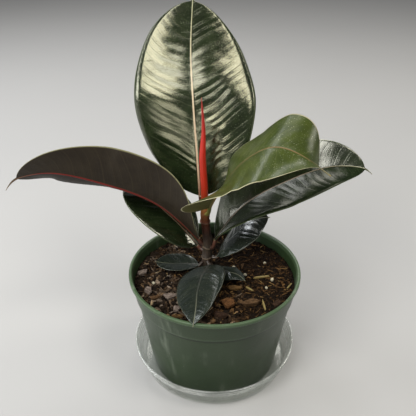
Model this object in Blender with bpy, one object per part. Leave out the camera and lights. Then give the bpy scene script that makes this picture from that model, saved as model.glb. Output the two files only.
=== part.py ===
"""Potted rubber plant: nine leaves on one stem, a red leaf sheath, potting mix, grower's pot, clear saucer.

Metres, +Z up, origin at the centre of the saucer's flat underside.  The front is -Y.
"""
import math
import random

import bpy
import bmesh
from mathutils import Vector

for old in list(bpy.data.objects):
    bpy.data.objects.remove(old, do_unlink=True)

MM = 0.001

# ---- driving dimensions ------------------------------------------------------------------------------
GAP = 0.3 * MM                      # clearance between pieces that touch

SAUCER_ROOM = 8.2 * MM              # how far the saucer's foot stands out round the pot's base
SAUCER_FLARE = 8.9 * MM             # how much wider its rim is than its foot
SAUCER_HEIGHT = 24.5 * MM
SAUCER_FLOOR = 1.2 * MM
SAUCER_WALL = 1.0 * MM

POT_RIM_RADIUS = 77.5 * MM          # six-inch azalea pot, over the rolled lip
POT_HEIGHT = 100.3 * MM
POT_BASE_SHARE = 0.765              # base radius as a share of the rim radius
POT_WALL = 1.0 * MM
POT_FLOOR = 1.6 * MM
LIP_HEIGHT = 3.6 * MM
LIP_DEPTH = 2.0 * MM                # how far the lip stands out from the collar
COLLAR_HEIGHT = 22.0 * MM
COLLAR_STEP = 1.6 * MM              # how far the wall steps in under the collar
DRAIN_HOLES = 8
DRAIN_HOLE_RADIUS = 4.5 * MM
SOIL_BELOW_RIM = 10.8 * MM

PLANT_SCALE = 1.0                   # size of everything that grows, for its pot
STEM_SIDEWAYS = -0.09               # place of the stem as a share of the pot's rim radius
STEM_BACK = 0.213
STEM_RADIUS = 4.9 * MM              # the woody foot; the young top is thinner
STEM_IN_SOIL = 45.0 * MM
PETIOLE_RADIUS = 1.7 * MM
LEAF_THICKNESS = 0.8 * MM
MIDRIB_DEPTH = 1.1 * MM             # how far the midrib stands out of the leaf's underside
REACH_PAST_RIM = 4.0 * MM           # how far the front leaf's tip reaches past the rim when it lies level
RIM_LIFT = 0.25                     # how much its tip rises for each further millimetre

MIX_RADIUS = 73.0 * MM              # the places of the loose bits are given for a mix this wide

# ---- heights and radii that follow -------------------------------------------------------------------
POT_BOTTOM_Z = SAUCER_FLOOR + GAP
POT_BASE_RADIUS = POT_BASE_SHARE * POT_RIM_RADIUS
SAUCER_FOOT_RADIUS = POT_BASE_RADIUS + SAUCER_ROOM
SAUCER_RIM_RADIUS = SAUCER_FOOT_RADIUS + SAUCER_FLARE
RIM_Z = POT_BOTTOM_Z + POT_HEIGHT
SOIL_Z = RIM_Z - SOIL_BELOW_RIM
SOIL_BUMP = 1.0 * MM
COLLAR_FOOT_Z = RIM_Z - COLLAR_HEIGHT
COLLAR_TOP_RADIUS = POT_RIM_RADIUS - LIP_DEPTH
COLLAR_FOOT_RADIUS = COLLAR_TOP_RADIUS - 0.14 * COLLAR_HEIGHT
BODY_TOP_RADIUS = COLLAR_FOOT_RADIUS - COLLAR_STEP
STEM_X = STEM_SIDEWAYS * POT_RIM_RADIUS
STEM_Y = STEM_BACK * POT_RIM_RADIUS
GROWN = PLANT_SCALE * POT_RIM_RADIUS / 77.5     # one plant millimetre in metres
ROUND_STEPS = 64

# ---- the plant, in millimetres from the stem's axis at the height of the pot's rim -------------------
# Stem: height, sideways lean, backward lean, radius as a share of STEM_RADIUS.
STEM_PROFILE = [
    (-8.0, 0.0, 0.0, 1.00), (-2.0, 0.1, 0.3, 0.96), (1.0, 0.2, 0.6, 1.06), (3.0, 0.3, 0.8, 0.97),
    (8.0, 0.5, 1.4, 0.93), (11.5, 0.6, 1.8, 1.04), (14.0, 0.6, 2.1, 0.92), (20.0, 0.2, 2.6, 0.84),
    (27.0, -0.6, 2.9, 0.80), (34.0, -1.3, 3.0, 0.78), (37.0, -1.6, 3.0, 0.90), (38.2, -1.7, 3.0, 0.92),
    (39.4, -1.7, 3.0, 0.80), (44.0, -1.7, 3.0, 0.84), (49.0, -1.7, 3.0, 0.80), (53.0, -1.7, 3.0, 0.72),
]
# Sheath: height, sideways lean, backward lean, radius as a share of STEM_RADIUS.
SHEATH_PROFILE = [
    (53.4, -1.7, 3.0, 0.66), (57.0, -1.8, 2.9, 0.74), (72.0, -2.2, 2.7, 0.72), (90.0, -2.3, 2.5, 0.68),
    (108.0, -2.4, 2.4, 0.62), (125.0, -2.9, 2.5, 0.52), (140.0, -3.5, 2.9, 0.36), (150.0, -4.1, 3.3, 0.18),
    (154.5, -4.4, 3.5, 0.05),
]

# Leaves.  "midrib" runs from blade base to tip as (sideways, back, up); "facing" is the way the upper
# face looks, from base to tip; "fold" lifts the left and right halves along the midrib and "curl" bends
# them on toward the margin, in degrees; "fullness" shapes the outline at the base of the left half, the
# base of the right half and the tip; "drip" is the share of the length in the drip tip; "lobe" is how
# far the right half reaches back past the petiole.  Left and right are as seen looking along the leaf
# from base to tip with the upper face up.
LEAVES = {
    "leaf_upright": dict(
        node=46, midrib=[(-6, 14, 58), (-9, 23, 101), (-12, 36, 141), (-14, 60, 176), (-12, 80, 215)],
        facing=[(-0.43, -0.69, 0.59), (-0.14, -0.59, 0.79), (0.10, -0.67, 0.74)], half_width=54,
        fold=[(7, 11), (7, 1), (2, 0)], curl=(-22, -18), fullness=(0.55, 0.59, 0.59), drip=0.03, lobe=0),
    "leaf_left": dict(
        node=14, midrib=[(-8, 1, 20), (-44, 11, 50), (-89, 7, 73), (-136, 0, 88), (-180, 9, 73)],
        facing=[(-0.28, 0.34, 0.90), (-0.69, 0.62, 0.38), (-0.49, 0.86, -0.16)], half_width=41.5,
        fold=[(17, 30), (5, 34), (-11, 14)], curl=(-1, 59), fullness=(0.46, 0.80, 0.82), drip=0.08, lobe=0),
    "leaf_lower_left": dict(
        node=6, midrib=[(-9, 5, 10), (-25, 13, 26), (-42, 26, 36), (-59, 41, 44), (-77, 57, 48)],
        facing=[(0.04, -0.36, 0.93), (0.12, -0.33, 0.94), (0.11, -0.36, 0.93)], half_width=31,
        fold=[(17, 0), (21, -6), (20, 0)], curl=(-5, -1), fullness=(0.60, 0.75, 0.55), drip=0.04, lobe=0),
    "leaf_young": dict(
        node=47, midrib=[(3, -6, 59), (11, -21, 83), (30, -26, 112), (51, -38, 130), (92, -62, 118)],
        facing=[(-0.75, 0.62, 0.21), (-0.33, 0.05, 0.94), (-0.51, -0.11, 0.85), (0.95, -0.21, -0.25)],
        half_width=41, fold=[(23, 21), (-1, -6), (-3, -9)], curl=(2, 7), fullness=(1.20, 0.35, 0.48),
        drip=0.06, lobe=2),
    "leaf_right": dict(
        node=11, midrib=[(8, -4, 22), (33, 1, 55), (71, 11, 74), (111, 12, 88), (148, 9, 86)],
        facing=[(-0.30, 0.12, 0.93), (0.30, -0.15, 0.90), (0.39, -0.62, 0.68)], half_width=36,
        fold=[(18, 17), (19, 15), (18, 15)], curl=(5, -3), fullness=(0.56, 0.52, 0.67), drip=0.06, lobe=0),
    "leaf_lower_right": dict(
        node=0, midrib=[(10, -2, 2), (19, 2, 15), (30, 5, 26), (43, 10, 34), (58, 12, 36)],
        facing=[(-0.62, 0.11, 0.78), (-0.58, -0.12, 0.81), (-0.37, -0.48, 0.80)], half_width=22,
        fold=[(1, 4), (0, 2), (4, 1)], curl=(-28, -22), fullness=(0.56, 0.58, 0.65), drip=0.03, lobe=0),
    "leaf_front": dict(
        node=-2, midrib=[(2, -10, -3), (-4, -31, 2), (-8, -53, 2), (-9, -75, 2), (-11, -96, 1)],
        facing=[(-0.34, -0.34, 0.87), (-0.25, -0.37, 0.89), (-0.13, -0.37, 0.92)], half_width=21,
        fold=[(11, 9), (8, 7), (8, 9)], curl=(-25, -24), fullness=(0.42, 0.40, 0.79), drip=0.03, lobe=0,
        over_rim=True),
    "leaf_low_left": dict(
        node=-4, midrib=[(-8, -5, -6), (-18, -4, -5), (-27, -4, -5), (-37, -6, -3), (-48, -6, -1)],
        facing=[(0.00, -0.10, 0.99), (0.00, -0.09, 1.00), (-0.01, -0.15, 0.99)], half_width=12.7,
        fold=[(11, 10), (10, 9), (6, 8)], curl=(3, 1), fullness=(0.66, 0.63, 0.63), drip=0.03, lobe=0),
    "leaf_low_right": dict(
        node=-5, midrib=[(7, -9, -6), (14, -16, -4), (20, -22, -1), (28, -28, 0), (34, -34, -2)],
        facing=[(0.08, -0.32, 0.94), (0.12, -0.33, 0.94), (0.42, 0.05, 0.90)], half_width=9.4,
        fold=[(0, 0), (2, -1), (-6, 0)], curl=(-20, -22), fullness=(0.59, 0.60, 0.65), drip=0.03, lobe=0),
}

# Loose bits on the mix, in millimetres: sideways and back from the pot's axis, length, width, height, and
# the turn of the length from +X in degrees.
BARK_CHIPS = [
    (-66, 5, 10, 7, 2.6, 25), (-59, -21, 9, 8, 3.0, -15), (-52, -31, 8, 4.5, 2.4, 10), (-39, -29, 8.5, 6.5, 2.8, 30),
    (-33, -46.5, 6.5, 6, 3.0, 5), (-32, -54.5, 11, 3.2, 2.0, -12), (11.5, -41, 11, 10, 4.2, 40),
    (5, -54.5, 12, 8, 3.0, -10), (18, -17.5, 12, 5.5, 2.2, -12), (30, -38.5, 14, 8, 3.4, 12),
    (53.5, -39, 9, 6, 2.6, 35), (26, 14, 8, 2.6, 2.2, 84),
]
WOOD_FIBRES = [
    (31, -18.5, 7.5, 1.6, 1.0, -44), (42, -40.5, 12, 1.5, 1.0, -83), (67, -13.5, 9, 1.4, 0.9, 58),
    (43, -1.5, 15, 1.7, 1.4, 14),
]
PERLITE_GRAINS = [
    (-55, -10, 3.4, 2.2, 1.8, -40), (18, 14.5, 3.0, 2.0, 1.6, 15), (28, 2, 3.0, 2.2, 1.8, 0),
    (52, -6, 3.0, 2.8, 2.2, 70), (47.5, 20, 2.4, 2.2, 1.8, 30), (46, -17, 2.6, 2.0, 1.6, 120),
]
ACROSS = (-1.0, -0.66, -0.28, 0.0, 0.28, 0.66, 1.0)     # stations across a leaf, margin to margin
PETIOLE_STATIONS = 3
BLADE_STATIONS = 17


# ---- materials and meshes ----------------------------------------------------------------------------
def make_material(name, colour, roughness, metallic=0.0, alpha=1.0):
    """A plain Principled material."""
    material = bpy.data.materials.new(name)
    material.use_nodes = True
    shader = material.node_tree.nodes["Principled BSDF"]
    shader.inputs["Base Color"].default_value = (*colour, 1.0)
    shader.inputs["Roughness"].default_value = roughness
    shader.inputs["Metallic"].default_value = metallic
    shader.inputs["Alpha"].default_value = alpha
    return material


def make_object(name, points, faces, material, smooth=True):
    """A closed mesh object with its faces turned outward."""
    mesh = bpy.data.meshes.new(name)
    mesh.from_pydata([tuple(p) for p in points], [], faces)
    work = bmesh.new()
    work.from_mesh(mesh)
    bmesh.ops.recalc_face_normals(work, faces=work.faces)
    work.to_mesh(mesh)
    work.free()
    mesh.polygons.foreach_set("use_smooth", [smooth] * len(mesh.polygons))
    mesh.materials.append(material)
    obj = bpy.data.objects.new(name, mesh)
    bpy.context.collection.objects.link(obj)
    return obj


def loft(rings, folded=0):
    """Points and faces of a closed skin over equal rings, with a flat cap at each end.

    folded is the count of points on a leaf section's upper face; its faces are split into triangles so
    that the upper and the under face bend along the same lines.
    """
    count = len(rings[0])
    points = [p for ring in rings for p in ring]
    faces = [list(range(count))[::-1]]
    for k in range(len(rings) - 1):
        for i in range(count):
            j = (i + 1) % count
            a, b, c, d = k * count + i, k * count + j, (k + 1) * count + j, (k + 1) * count + i
            if not folded:
                faces.append([a, b, c, d])
            elif i < folded - 1:
                faces += [[a, b, c], [a, c, d]]
            else:
                faces += [[a, b, d], [b, c, d]]
    last = (len(rings) - 1) * count
    faces.append([last + i for i in range(count)])
    return points, faces


def revolve(profile):
    """Points and faces of a profile (radius, height) turned about the Z axis; radius 0 closes on the axis."""
    points = []
    rows = []
    for radius, height in profile:
        if radius == 0.0:
            rows.append([len(points)] * ROUND_STEPS)
            points.append((0.0, 0.0, height))
            continue
        rows.append([len(points) + i for i in range(ROUND_STEPS)])
        for i in range(ROUND_STEPS):
            turn = math.tau * i / ROUND_STEPS
            points.append((radius * math.cos(turn), radius * math.sin(turn), height))
    faces = []
    for k in range(len(rows)):
        upper, lower = rows[k], rows[(k + 1) % len(rows)]
        for i in range(ROUND_STEPS):
            j = (i + 1) % ROUND_STEPS
            corners = [upper[i], lower[i], lower[j], upper[j]]
            face = [c for n, c in enumerate(corners) if c not in corners[:n]]
            if len(face) > 2:
                faces.append(face)
    return points, faces


# ---- curves ------------------------------------------------------------------------------------------
def chord_steps(points):
    """Share of the whole length reached at each point."""
    steps = [0.0]
    for a, b in zip(points, points[1:]):
        steps.append(steps[-1] + (b - a).length)
    return [s / steps[-1] for s in steps]


def curve_point(points, share):
    """Smooth curve through the points; share 0 is the first point and 1 the last."""
    steps = chord_steps(points)
    last = len(points) - 1
    slopes = [None] * (last + 1)
    for i in range(1, last):
        before = (points[i] - points[i - 1]) / (steps[i] - steps[i - 1])
        after = (points[i + 1] - points[i]) / (steps[i + 1] - steps[i])
        weight = (steps[i + 1] - steps[i]) / (steps[i + 1] - steps[i - 1])
        slopes[i] = before * weight + after * (1.0 - weight)
    slopes[0] = 1.5 * (points[1] - points[0]) / (steps[1] - steps[0]) - 0.5 * slopes[1]
    slopes[last] = 1.5 * (points[last] - points[last - 1]) / (1.0 - steps[last - 1]) - 0.5 * slopes[last - 1]
    share = min(max(share, 0.0), 1.0)
    i = max(n for n in range(last) if steps[n] <= share)
    span = steps[i + 1] - steps[i]
    s = (share - steps[i]) / span
    return ((2 * s ** 3 - 3 * s ** 2 + 1) * points[i] + (s ** 3 - 2 * s ** 2 + s) * span * slopes[i]
            + (3 * s ** 2 - 2 * s ** 3) * points[i + 1] + (s ** 3 - s ** 2) * span * slopes[i + 1])


def curve_direction(points, share):
    """Unit direction of the curve at that share."""
    step = 0.002
    return (curve_point(points, share + step) - curve_point(points, share - step)).normalized()


def between(keys, share):
    """Straight interpolation of evenly spaced keys, each a number, a tuple or a vector."""
    place = min(max(share, 0.0), 1.0) * (len(keys) - 1)
    i = min(int(place), len(keys) - 2)
    return Vector(keys[i]).lerp(Vector(keys[i + 1]), place - i)


# ---- leaves ------------------------------------------------------------------------------------------
def plant_point(sideways, back, up):
    """A point of the plant, given in millimetres from the stem's axis at rim height."""
    return Vector((STEM_X + sideways * GROWN, STEM_Y + back * GROWN, RIM_Z + up * GROWN))


def stem_at(height):
    """Centre and radius of the stem at a height in plant millimetres."""
    for low, high in zip(STEM_PROFILE, STEM_PROFILE[1:]):
        if low[0] <= height <= high[0]:
            share = (height - low[0]) / (high[0] - low[0])
            _, sideways, back, radius = Vector(low).lerp(Vector(high), share)
            return plant_point(sideways, back, height), radius * STEM_RADIUS
    raise ValueError(height)


def outline(share, base, tip):
    """Half width of a leaf blade along its length, 1 at its widest."""
    share = min(max(share, 0.0), 1.0)
    peak = base / (base + tip)
    return (share ** base * (1.0 - share) ** tip) / (peak ** base * (1.0 - peak) ** tip)


def blade_point(leaf, midrib, share, across):
    """Middle-of-thickness point of the blade and the direction its upper face looks there."""
    along = curve_direction(midrib, share)
    facing = between(leaf["facing"], share)
    up = (facing - facing.dot(along) * along).normalized()
    right = along.cross(up)
    side = 1 if across > 0 else 0
    full = leaf["half_width"] * GROWN
    drip = leaf["drip"]
    width = full * max(outline(share / (1.0 - drip), leaf["fullness"][side], leaf["fullness"][2]),
                       0.03 * min((1.0 - share) / drip, 1.0) ** 0.7)
    width = max(width, 0.25 * MM)
    fold = math.radians(between(leaf["fold"], share)[side])
    bend = math.radians(leaf["curl"][side]) + 1e-6
    reach = width * abs(across)
    turned = fold + bend * reach / full
    out = full / bend * (math.sin(turned) - math.sin(fold))
    rise = full / bend * (math.cos(fold) - math.cos(turned))
    point = curve_point(midrib, share) + math.copysign(out, across) * right + rise * up
    if side:
        point -= along * leaf["lobe"] * GROWN * abs(across) * math.exp(-share / 0.25)
    normal = math.cos(turned) * up - math.copysign(math.sin(turned), across) * right
    return point, normal, width


def leaf_ring(leaf, midrib, share):
    """One cross section of the blade: over the upper face left to right, then back underneath."""
    over = []
    under = []
    thin = min(1.0, 0.35 + 6.0 * min(share, 1.0 - share))
    for across in ACROSS:
        point, normal, width = blade_point(leaf, midrib, share, across)
        half = 0.5 * LEAF_THICKNESS * math.sqrt(1.0 - across * across) * thin
        rib = MIDRIB_DEPTH * thin * (1.0 - 0.8 * share) if across == 0.0 else 0.0
        over.append(point + half * normal)
        under.append(point - (half + rib) * normal)
    return over + under[-2:0:-1]


def petiole_ring(centre, along, up, radius):
    """A round section with the same count of points as a blade section."""
    right = along.cross(up).normalized()
    up = right.cross(along)
    over = [centre + radius * (a * right + math.sqrt(1.0 - a * a) * up) for a in ACROSS]
    under = [centre + radius * (a * right - math.sqrt(1.0 - a * a) * up) for a in ACROSS]
    return over + under[-2:0:-1]


def build_leaf(name, leaf, material):
    """Petiole and blade as one closed solid, ending just short of the stem."""
    midrib = [plant_point(*p) for p in leaf["midrib"]]
    if leaf.get("over_rim"):
        further = math.hypot(midrib[-1].x, midrib[-1].y) - POT_RIM_RADIUS - REACH_PAST_RIM
        for k, point in enumerate(midrib):
            point.z += RIM_LIFT * further * k / (len(midrib) - 1)
    centre, _ = stem_at(leaf["node"])
    stem_radius = max(stem_at(leaf["node"] + step)[1] for step in (-3, -2, -1, 0, 1, 2, 3))
    outward = midrib[0] - centre
    outward.z = 0.0
    start = centre + outward.normalized() * (stem_radius + GAP + PETIOLE_RADIUS * 0.45)
    join = blade_point(leaf, midrib, 0.03, 0.0)[0]
    along_blade = curve_direction(midrib, 0.03)
    up = between(leaf["facing"], 0.0)
    rings = []
    for k in range(PETIOLE_STATIONS):
        share = k / PETIOLE_STATIONS
        leaving = outward.normalized() + Vector((0.0, 0.0, 0.3))
        length = (join - start).length
        a = start + leaving.normalized() * length * 0.33
        b = join - along_blade * length * 0.33
        place = ((1 - share) ** 3 * start + 3 * (1 - share) ** 2 * share * a
                 + 3 * (1 - share) * share ** 2 * b + share ** 3 * join)
        ahead = ((1 - share) ** 2 * (a - start) + 2 * (1 - share) * share * (b - a) + share ** 2 * (join - b))
        rings.append(petiole_ring(place, ahead.normalized(), up, PETIOLE_RADIUS))
    for k in range(BLADE_STATIONS):
        even = k / (BLADE_STATIONS - 1)
        share = 0.03 + 0.97 * (0.5 * even + 0.5 * (0.5 - 0.5 * math.cos(math.pi * even)))
        rings.append(leaf_ring(leaf, midrib, share))
    return make_object(name, *loft(rings, len(ACROSS)), material)


# ---- stem and sheath ---------------------------------------------------------------------------------
def upright_tube(profile, sides, foot=None):
    """Closed round body through (height, sideways, back, radius share) entries, standing on foot."""
    rings = []
    for height, sideways, back, share in profile:
        centre = plant_point(sideways, back, height)
        rings.append((centre, share * STEM_RADIUS))
    if foot is not None:
        rings.insert(0, (Vector((rings[0][0].x, rings[0][0].y, foot)), rings[0][1]))
    skin = []
    for centre, radius in rings:
        skin.append([centre + Vector((radius * math.cos(math.tau * i / sides),
                                      radius * math.sin(math.tau * i / sides), 0.0)) for i in range(sides)])
    return loft(skin)


# ---- pot, saucer and soil ----------------------------------------------------------------------------
def pot_outer():
    """Outer profile of the pot from lip to base."""
    return [
        (POT_RIM_RADIUS - 1.2 * MM, RIM_Z), (POT_RIM_RADIUS - 0.3 * MM, RIM_Z - 0.4 * MM),
        (POT_RIM_RADIUS, RIM_Z - 1.2 * MM), (POT_RIM_RADIUS, RIM_Z - LIP_HEIGHT + 0.8 * MM),
        (POT_RIM_RADIUS - 0.5 * MM, RIM_Z - LIP_HEIGHT), (COLLAR_TOP_RADIUS, RIM_Z - LIP_HEIGHT - 0.3 * MM),
        (COLLAR_FOOT_RADIUS, COLLAR_FOOT_Z), (BODY_TOP_RADIUS, COLLAR_FOOT_Z - 1.2 * MM),
        (POT_BASE_RADIUS, POT_BOTTOM_Z + 1.2 * MM), (POT_BASE_RADIUS - 1.2 * MM, POT_BOTTOM_Z),
    ]


def pot_inner():
    """Inner profile of the pot from the floor's edge up to the lip."""
    return [
        (POT_BASE_RADIUS - POT_WALL, POT_BOTTOM_Z + POT_FLOOR),
        (BODY_TOP_RADIUS - POT_WALL, COLLAR_FOOT_Z - 1.2 * MM),
        (COLLAR_FOOT_RADIUS - POT_WALL, COLLAR_FOOT_Z),
        (COLLAR_TOP_RADIUS - POT_WALL, RIM_Z - 0.9 * MM),
        (COLLAR_TOP_RADIUS - POT_WALL + 0.6 * MM, RIM_Z),
    ]


def inner_radius(height):
    """Inside radius of the pot at a height."""
    profile = pot_inner()
    for (low_r, low_z), (high_r, high_z) in zip(profile, profile[1:]):
        if low_z <= height <= high_z:
            return low_r + (high_r - low_r) * (height - low_z) / (high_z - low_z)
    raise ValueError(height)


def build_pot(material):
    """Pot with a ring of drain holes through its floor."""
    floor = [(0.0, POT_BOTTOM_Z), (0.0, POT_BOTTOM_Z + POT_FLOOR)]
    pot = make_object("pot", *revolve(pot_outer() + floor + pot_inner()), material)
    points = []
    faces = []
    for n in range(DRAIN_HOLES):
        turn = math.tau * (n + 0.5) / DRAIN_HOLES
        reach = 0.78 * POT_BASE_RADIUS
        rings = []
        for height in (POT_BOTTOM_Z - 2.0 * MM, POT_BOTTOM_Z + POT_FLOOR + 2.0 * MM):
            rings.append([(reach * math.cos(turn) + DRAIN_HOLE_RADIUS * math.cos(math.tau * i / 12),
                           reach * math.sin(turn) + DRAIN_HOLE_RADIUS * math.sin(math.tau * i / 12),
                           height) for i in range(12)])
        ring_points, ring_faces = loft(rings)
        faces += [[i + len(points) for i in face] for face in ring_faces]
        points += ring_points
    cutter = make_object("drain_cutter", points, faces, material)
    cutter.hide_render = True
    cutter.display_type = "WIRE"
    cut = pot.modifiers.new("drain_holes", "BOOLEAN")
    cut.operation = "DIFFERENCE"
    cut.solver = "EXACT"
    cut.object = cutter
    return pot


def build_saucer(material):
    """Clear saucer: flat floor, stepped flaring wall, small turned lip."""
    step_z = 0.56 * SAUCER_HEIGHT
    step_radius = SAUCER_FOOT_RADIUS + 0.42 * (SAUCER_RIM_RADIUS - SAUCER_FOOT_RADIUS)
    lip = SAUCER_RIM_RADIUS - 1.4 * MM
    return make_object("saucer", *revolve([
        (SAUCER_RIM_RADIUS - 0.5 * MM, SAUCER_HEIGHT), (SAUCER_RIM_RADIUS, SAUCER_HEIGHT - 0.6 * MM),
        (SAUCER_RIM_RADIUS - 0.2 * MM, SAUCER_HEIGHT - 1.6 * MM), (lip, SAUCER_HEIGHT - 2.0 * MM),
        (step_radius + 1.2 * MM, step_z + 0.6 * MM), (step_radius, step_z - 0.4 * MM),
        (SAUCER_FOOT_RADIUS + 0.6 * MM, 1.4 * MM), (SAUCER_FOOT_RADIUS - 0.8 * MM, 0.0), (0.0, 0.0),
        (0.0, SAUCER_FLOOR), (SAUCER_FOOT_RADIUS - SAUCER_WALL - 0.6 * MM, SAUCER_FLOOR),
        (SAUCER_FOOT_RADIUS - SAUCER_WALL + 0.6 * MM, SAUCER_FLOOR + 1.4 * MM),
        (step_radius - SAUCER_WALL, step_z - 0.2 * MM), (step_radius - SAUCER_WALL + 1.2 * MM, step_z + 0.8 * MM),
        (lip - SAUCER_WALL, SAUCER_HEIGHT - 1.6 * MM), (lip - 0.3 * MM, SAUCER_HEIGHT),
    ]), material)


def soil_height(x, y):
    """Top of the potting mix: gentle bumps that fade out at the wall."""
    fade = min(1.0, 8.0 * (1.0 - math.hypot(x, y) / inner_radius(SOIL_Z)))
    wave = (math.sin(0.21 * x / MM + 1.0) * math.sin(0.17 * y / MM) + math.sin(0.11 * x / MM - 0.14 * y / MM)
            + 0.6 * math.sin(0.33 * y / MM + 0.09 * x / MM))
    return SOIL_Z + SOIL_BUMP * 0.4 * fade * wave


def build_soil(material):
    """Potting mix filling the pot, with a pocket for the buried foot of the stem."""
    stem_foot = plant_point(*STEM_PROFILE[0][1:3], STEM_PROFILE[0][0])
    hole_radius = STEM_RADIUS + GAP
    bottom = POT_BOTTOM_Z + POT_FLOOR + GAP
    turns = [math.tau * i / ROUND_STEPS for i in range(ROUND_STEPS)]
    rings = []
    for height in (bottom, COLLAR_FOOT_Z - 1.2 * MM - GAP, COLLAR_FOOT_Z - GAP):
        radius = inner_radius(height) - GAP
        rings.append([(radius * math.cos(t), radius * math.sin(t), height) for t in turns])
    for share in (0.0, 0.06, 0.16, 0.28, 0.42, 0.56, 0.70, 0.84, 1.0):
        radius = (inner_radius(SOIL_Z) - GAP) * (1.0 - share) + hole_radius * share
        ring = []
        for t in turns:
            x = stem_foot.x * share + radius * math.cos(t)
            y = stem_foot.y * share + radius * math.sin(t)
            ring.append((x, y, soil_height(x, y)))
        rings.append(ring)
    pocket = SOIL_Z - STEM_IN_SOIL - GAP
    rings.append([(stem_foot.x + hole_radius * math.cos(t), stem_foot.y + hole_radius * math.sin(t), pocket)
                  for t in turns])
    return make_object("soil", *loft(rings), material)


# ---- loose bits on the soil --------------------------------------------------------------------------
def resting_height(x, y, size):
    """Lowest height at which a flat footprint of that radius clears the soil."""
    around = [(x, y)]
    for ring in (0.5, 1.0):
        around += [(x + ring * size * math.cos(math.tau * i / 8), y + ring * size * math.sin(math.tau * i / 8))
                   for i in range(8)]
    return max(soil_height(*p) for p in around) + GAP + 0.1 * MM


def block(place, length, width, height, turn, dice):
    """A rough chip: a six-sided block with uneven corners, standing on place."""
    corners = []
    for level in (0.0, 1.0):
        for sx, sy in ((-1, -1), (1, -1), (1, 1), (-1, 1)):
            shrink = dice.uniform(0.8, 1.0) * (1.0 - 0.2 * level)
            dx = sx * 0.5 * length * shrink
            dy = sy * 0.5 * width * shrink
            lift = level * height * dice.uniform(0.7, 1.0)
            corners.append(place + Vector((dx * math.cos(turn) - dy * math.sin(turn),
                                           dx * math.sin(turn) + dy * math.cos(turn), lift)))
    return loft([corners[:4], corners[4:]])


def build_loose(name, bits, material, dice):
    """Separate chips lying on the mix; they spread and grow with the pot."""
    grown = MM * (inner_radius(SOIL_Z) - GAP) / MIX_RADIUS
    for number, bit in enumerate(bits, start=1):
        x, y, length, width, height = (value * grown for value in bit[:5])
        foot = resting_height(x, y, 0.5 * math.hypot(length, width))
        chip = block(Vector((x, y, foot)), length, width, height, math.radians(bit[5]), dice)
        make_object(f"{name}_{number:02d}", *chip, material, smooth=False)


# ---- build -------------------------------------------------------------------------------------------
mature_leaf = make_material("leaf_mature", (0.016, 0.050, 0.020), 0.28)
young_leaf = make_material("leaf_young", (0.105, 0.170, 0.035), 0.32)
stem_bark = make_material("stem_bark", (0.115, 0.070, 0.030), 0.60)
sheath_red = make_material("sheath_red", (0.520, 0.050, 0.025), 0.35)
pot_green = make_material("pot_green", (0.050, 0.105, 0.065), 0.45)
saucer_clear = make_material("saucer_clear", (0.780, 0.800, 0.790), 0.12, alpha=0.35)
potting_mix = make_material("potting_mix", (0.060, 0.038, 0.022), 0.95)
bark = make_material("bark", (0.145, 0.070, 0.040), 0.90)
fibre = make_material("fibre", (0.420, 0.300, 0.130), 0.80)
perlite = make_material("perlite", (0.780, 0.770, 0.730), 0.85)

build_saucer(saucer_clear)
build_pot(pot_green)
build_soil(potting_mix)
make_object("stem", *upright_tube(STEM_PROFILE, 16, foot=SOIL_Z - STEM_IN_SOIL), stem_bark)
make_object("leaf_sheath", *upright_tube(SHEATH_PROFILE, 12), sheath_red)
for leaf_name, leaf_shape in LEAVES.items():
    build_leaf(leaf_name, leaf_shape, young_leaf if leaf_name == "leaf_young" else mature_leaf)

chance = random.Random(11)
build_loose("bark_chip", BARK_CHIPS, bark, chance)
build_loose("wood_fibre", WOOD_FIBRES, fibre, chance)
build_loose("perlite_grain", PERLITE_GRAINS, perlite, chance)
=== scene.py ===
"""Looks of the potted rubber plant: fine leaves, stem, potting mix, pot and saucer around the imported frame.

Metres, +Z up, the frame's own origin.  The plant's lengths are in millimetres from the stem's axis at the
height of the pot's rim, as in the CAD source.
"""
import math

import bpy
import numpy as np
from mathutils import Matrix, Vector


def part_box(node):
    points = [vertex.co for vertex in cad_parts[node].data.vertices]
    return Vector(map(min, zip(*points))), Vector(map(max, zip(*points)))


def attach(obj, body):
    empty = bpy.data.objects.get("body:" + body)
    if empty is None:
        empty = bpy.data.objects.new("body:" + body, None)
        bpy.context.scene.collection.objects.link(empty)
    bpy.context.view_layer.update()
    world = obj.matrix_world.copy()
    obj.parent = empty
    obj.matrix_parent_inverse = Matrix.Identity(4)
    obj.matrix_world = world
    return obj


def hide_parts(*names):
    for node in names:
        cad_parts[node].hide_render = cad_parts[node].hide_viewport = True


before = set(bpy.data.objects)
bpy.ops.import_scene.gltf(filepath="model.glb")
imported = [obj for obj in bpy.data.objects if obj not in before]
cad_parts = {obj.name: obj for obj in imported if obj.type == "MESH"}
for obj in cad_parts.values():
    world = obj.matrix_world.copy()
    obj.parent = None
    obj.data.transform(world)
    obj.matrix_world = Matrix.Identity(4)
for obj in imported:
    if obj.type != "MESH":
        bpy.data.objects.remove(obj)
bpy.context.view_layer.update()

# ---- sizes in millimetres, from the frame and the CAD's own driving values ---------------------------
MM = 0.001
RIM_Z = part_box("pot")[1][2] / MM
POT_BOTTOM_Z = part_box("pot")[0][2] / MM
POT_RIM_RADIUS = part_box("pot")[1][0] / MM
POT_BASE_RADIUS = 0.765 * POT_RIM_RADIUS
POT_WALL = 1.0
POT_FLOOR = 1.6
LIP_HEIGHT = 3.6
LIP_FOOT_Z = RIM_Z - LIP_HEIGHT
COLLAR_HEIGHT = 22.0
COLLAR_FOOT_Z = RIM_Z - COLLAR_HEIGHT
COLLAR_TOP_RADIUS = POT_RIM_RADIUS - 2.0
COLLAR_FOOT_RADIUS = COLLAR_TOP_RADIUS - 0.14 * COLLAR_HEIGHT
BODY_TOP_RADIUS = COLLAR_FOOT_RADIUS - 1.6
DRAIN_HOLES = 8
DRAIN_HOLE_RADIUS = 4.5

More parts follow.
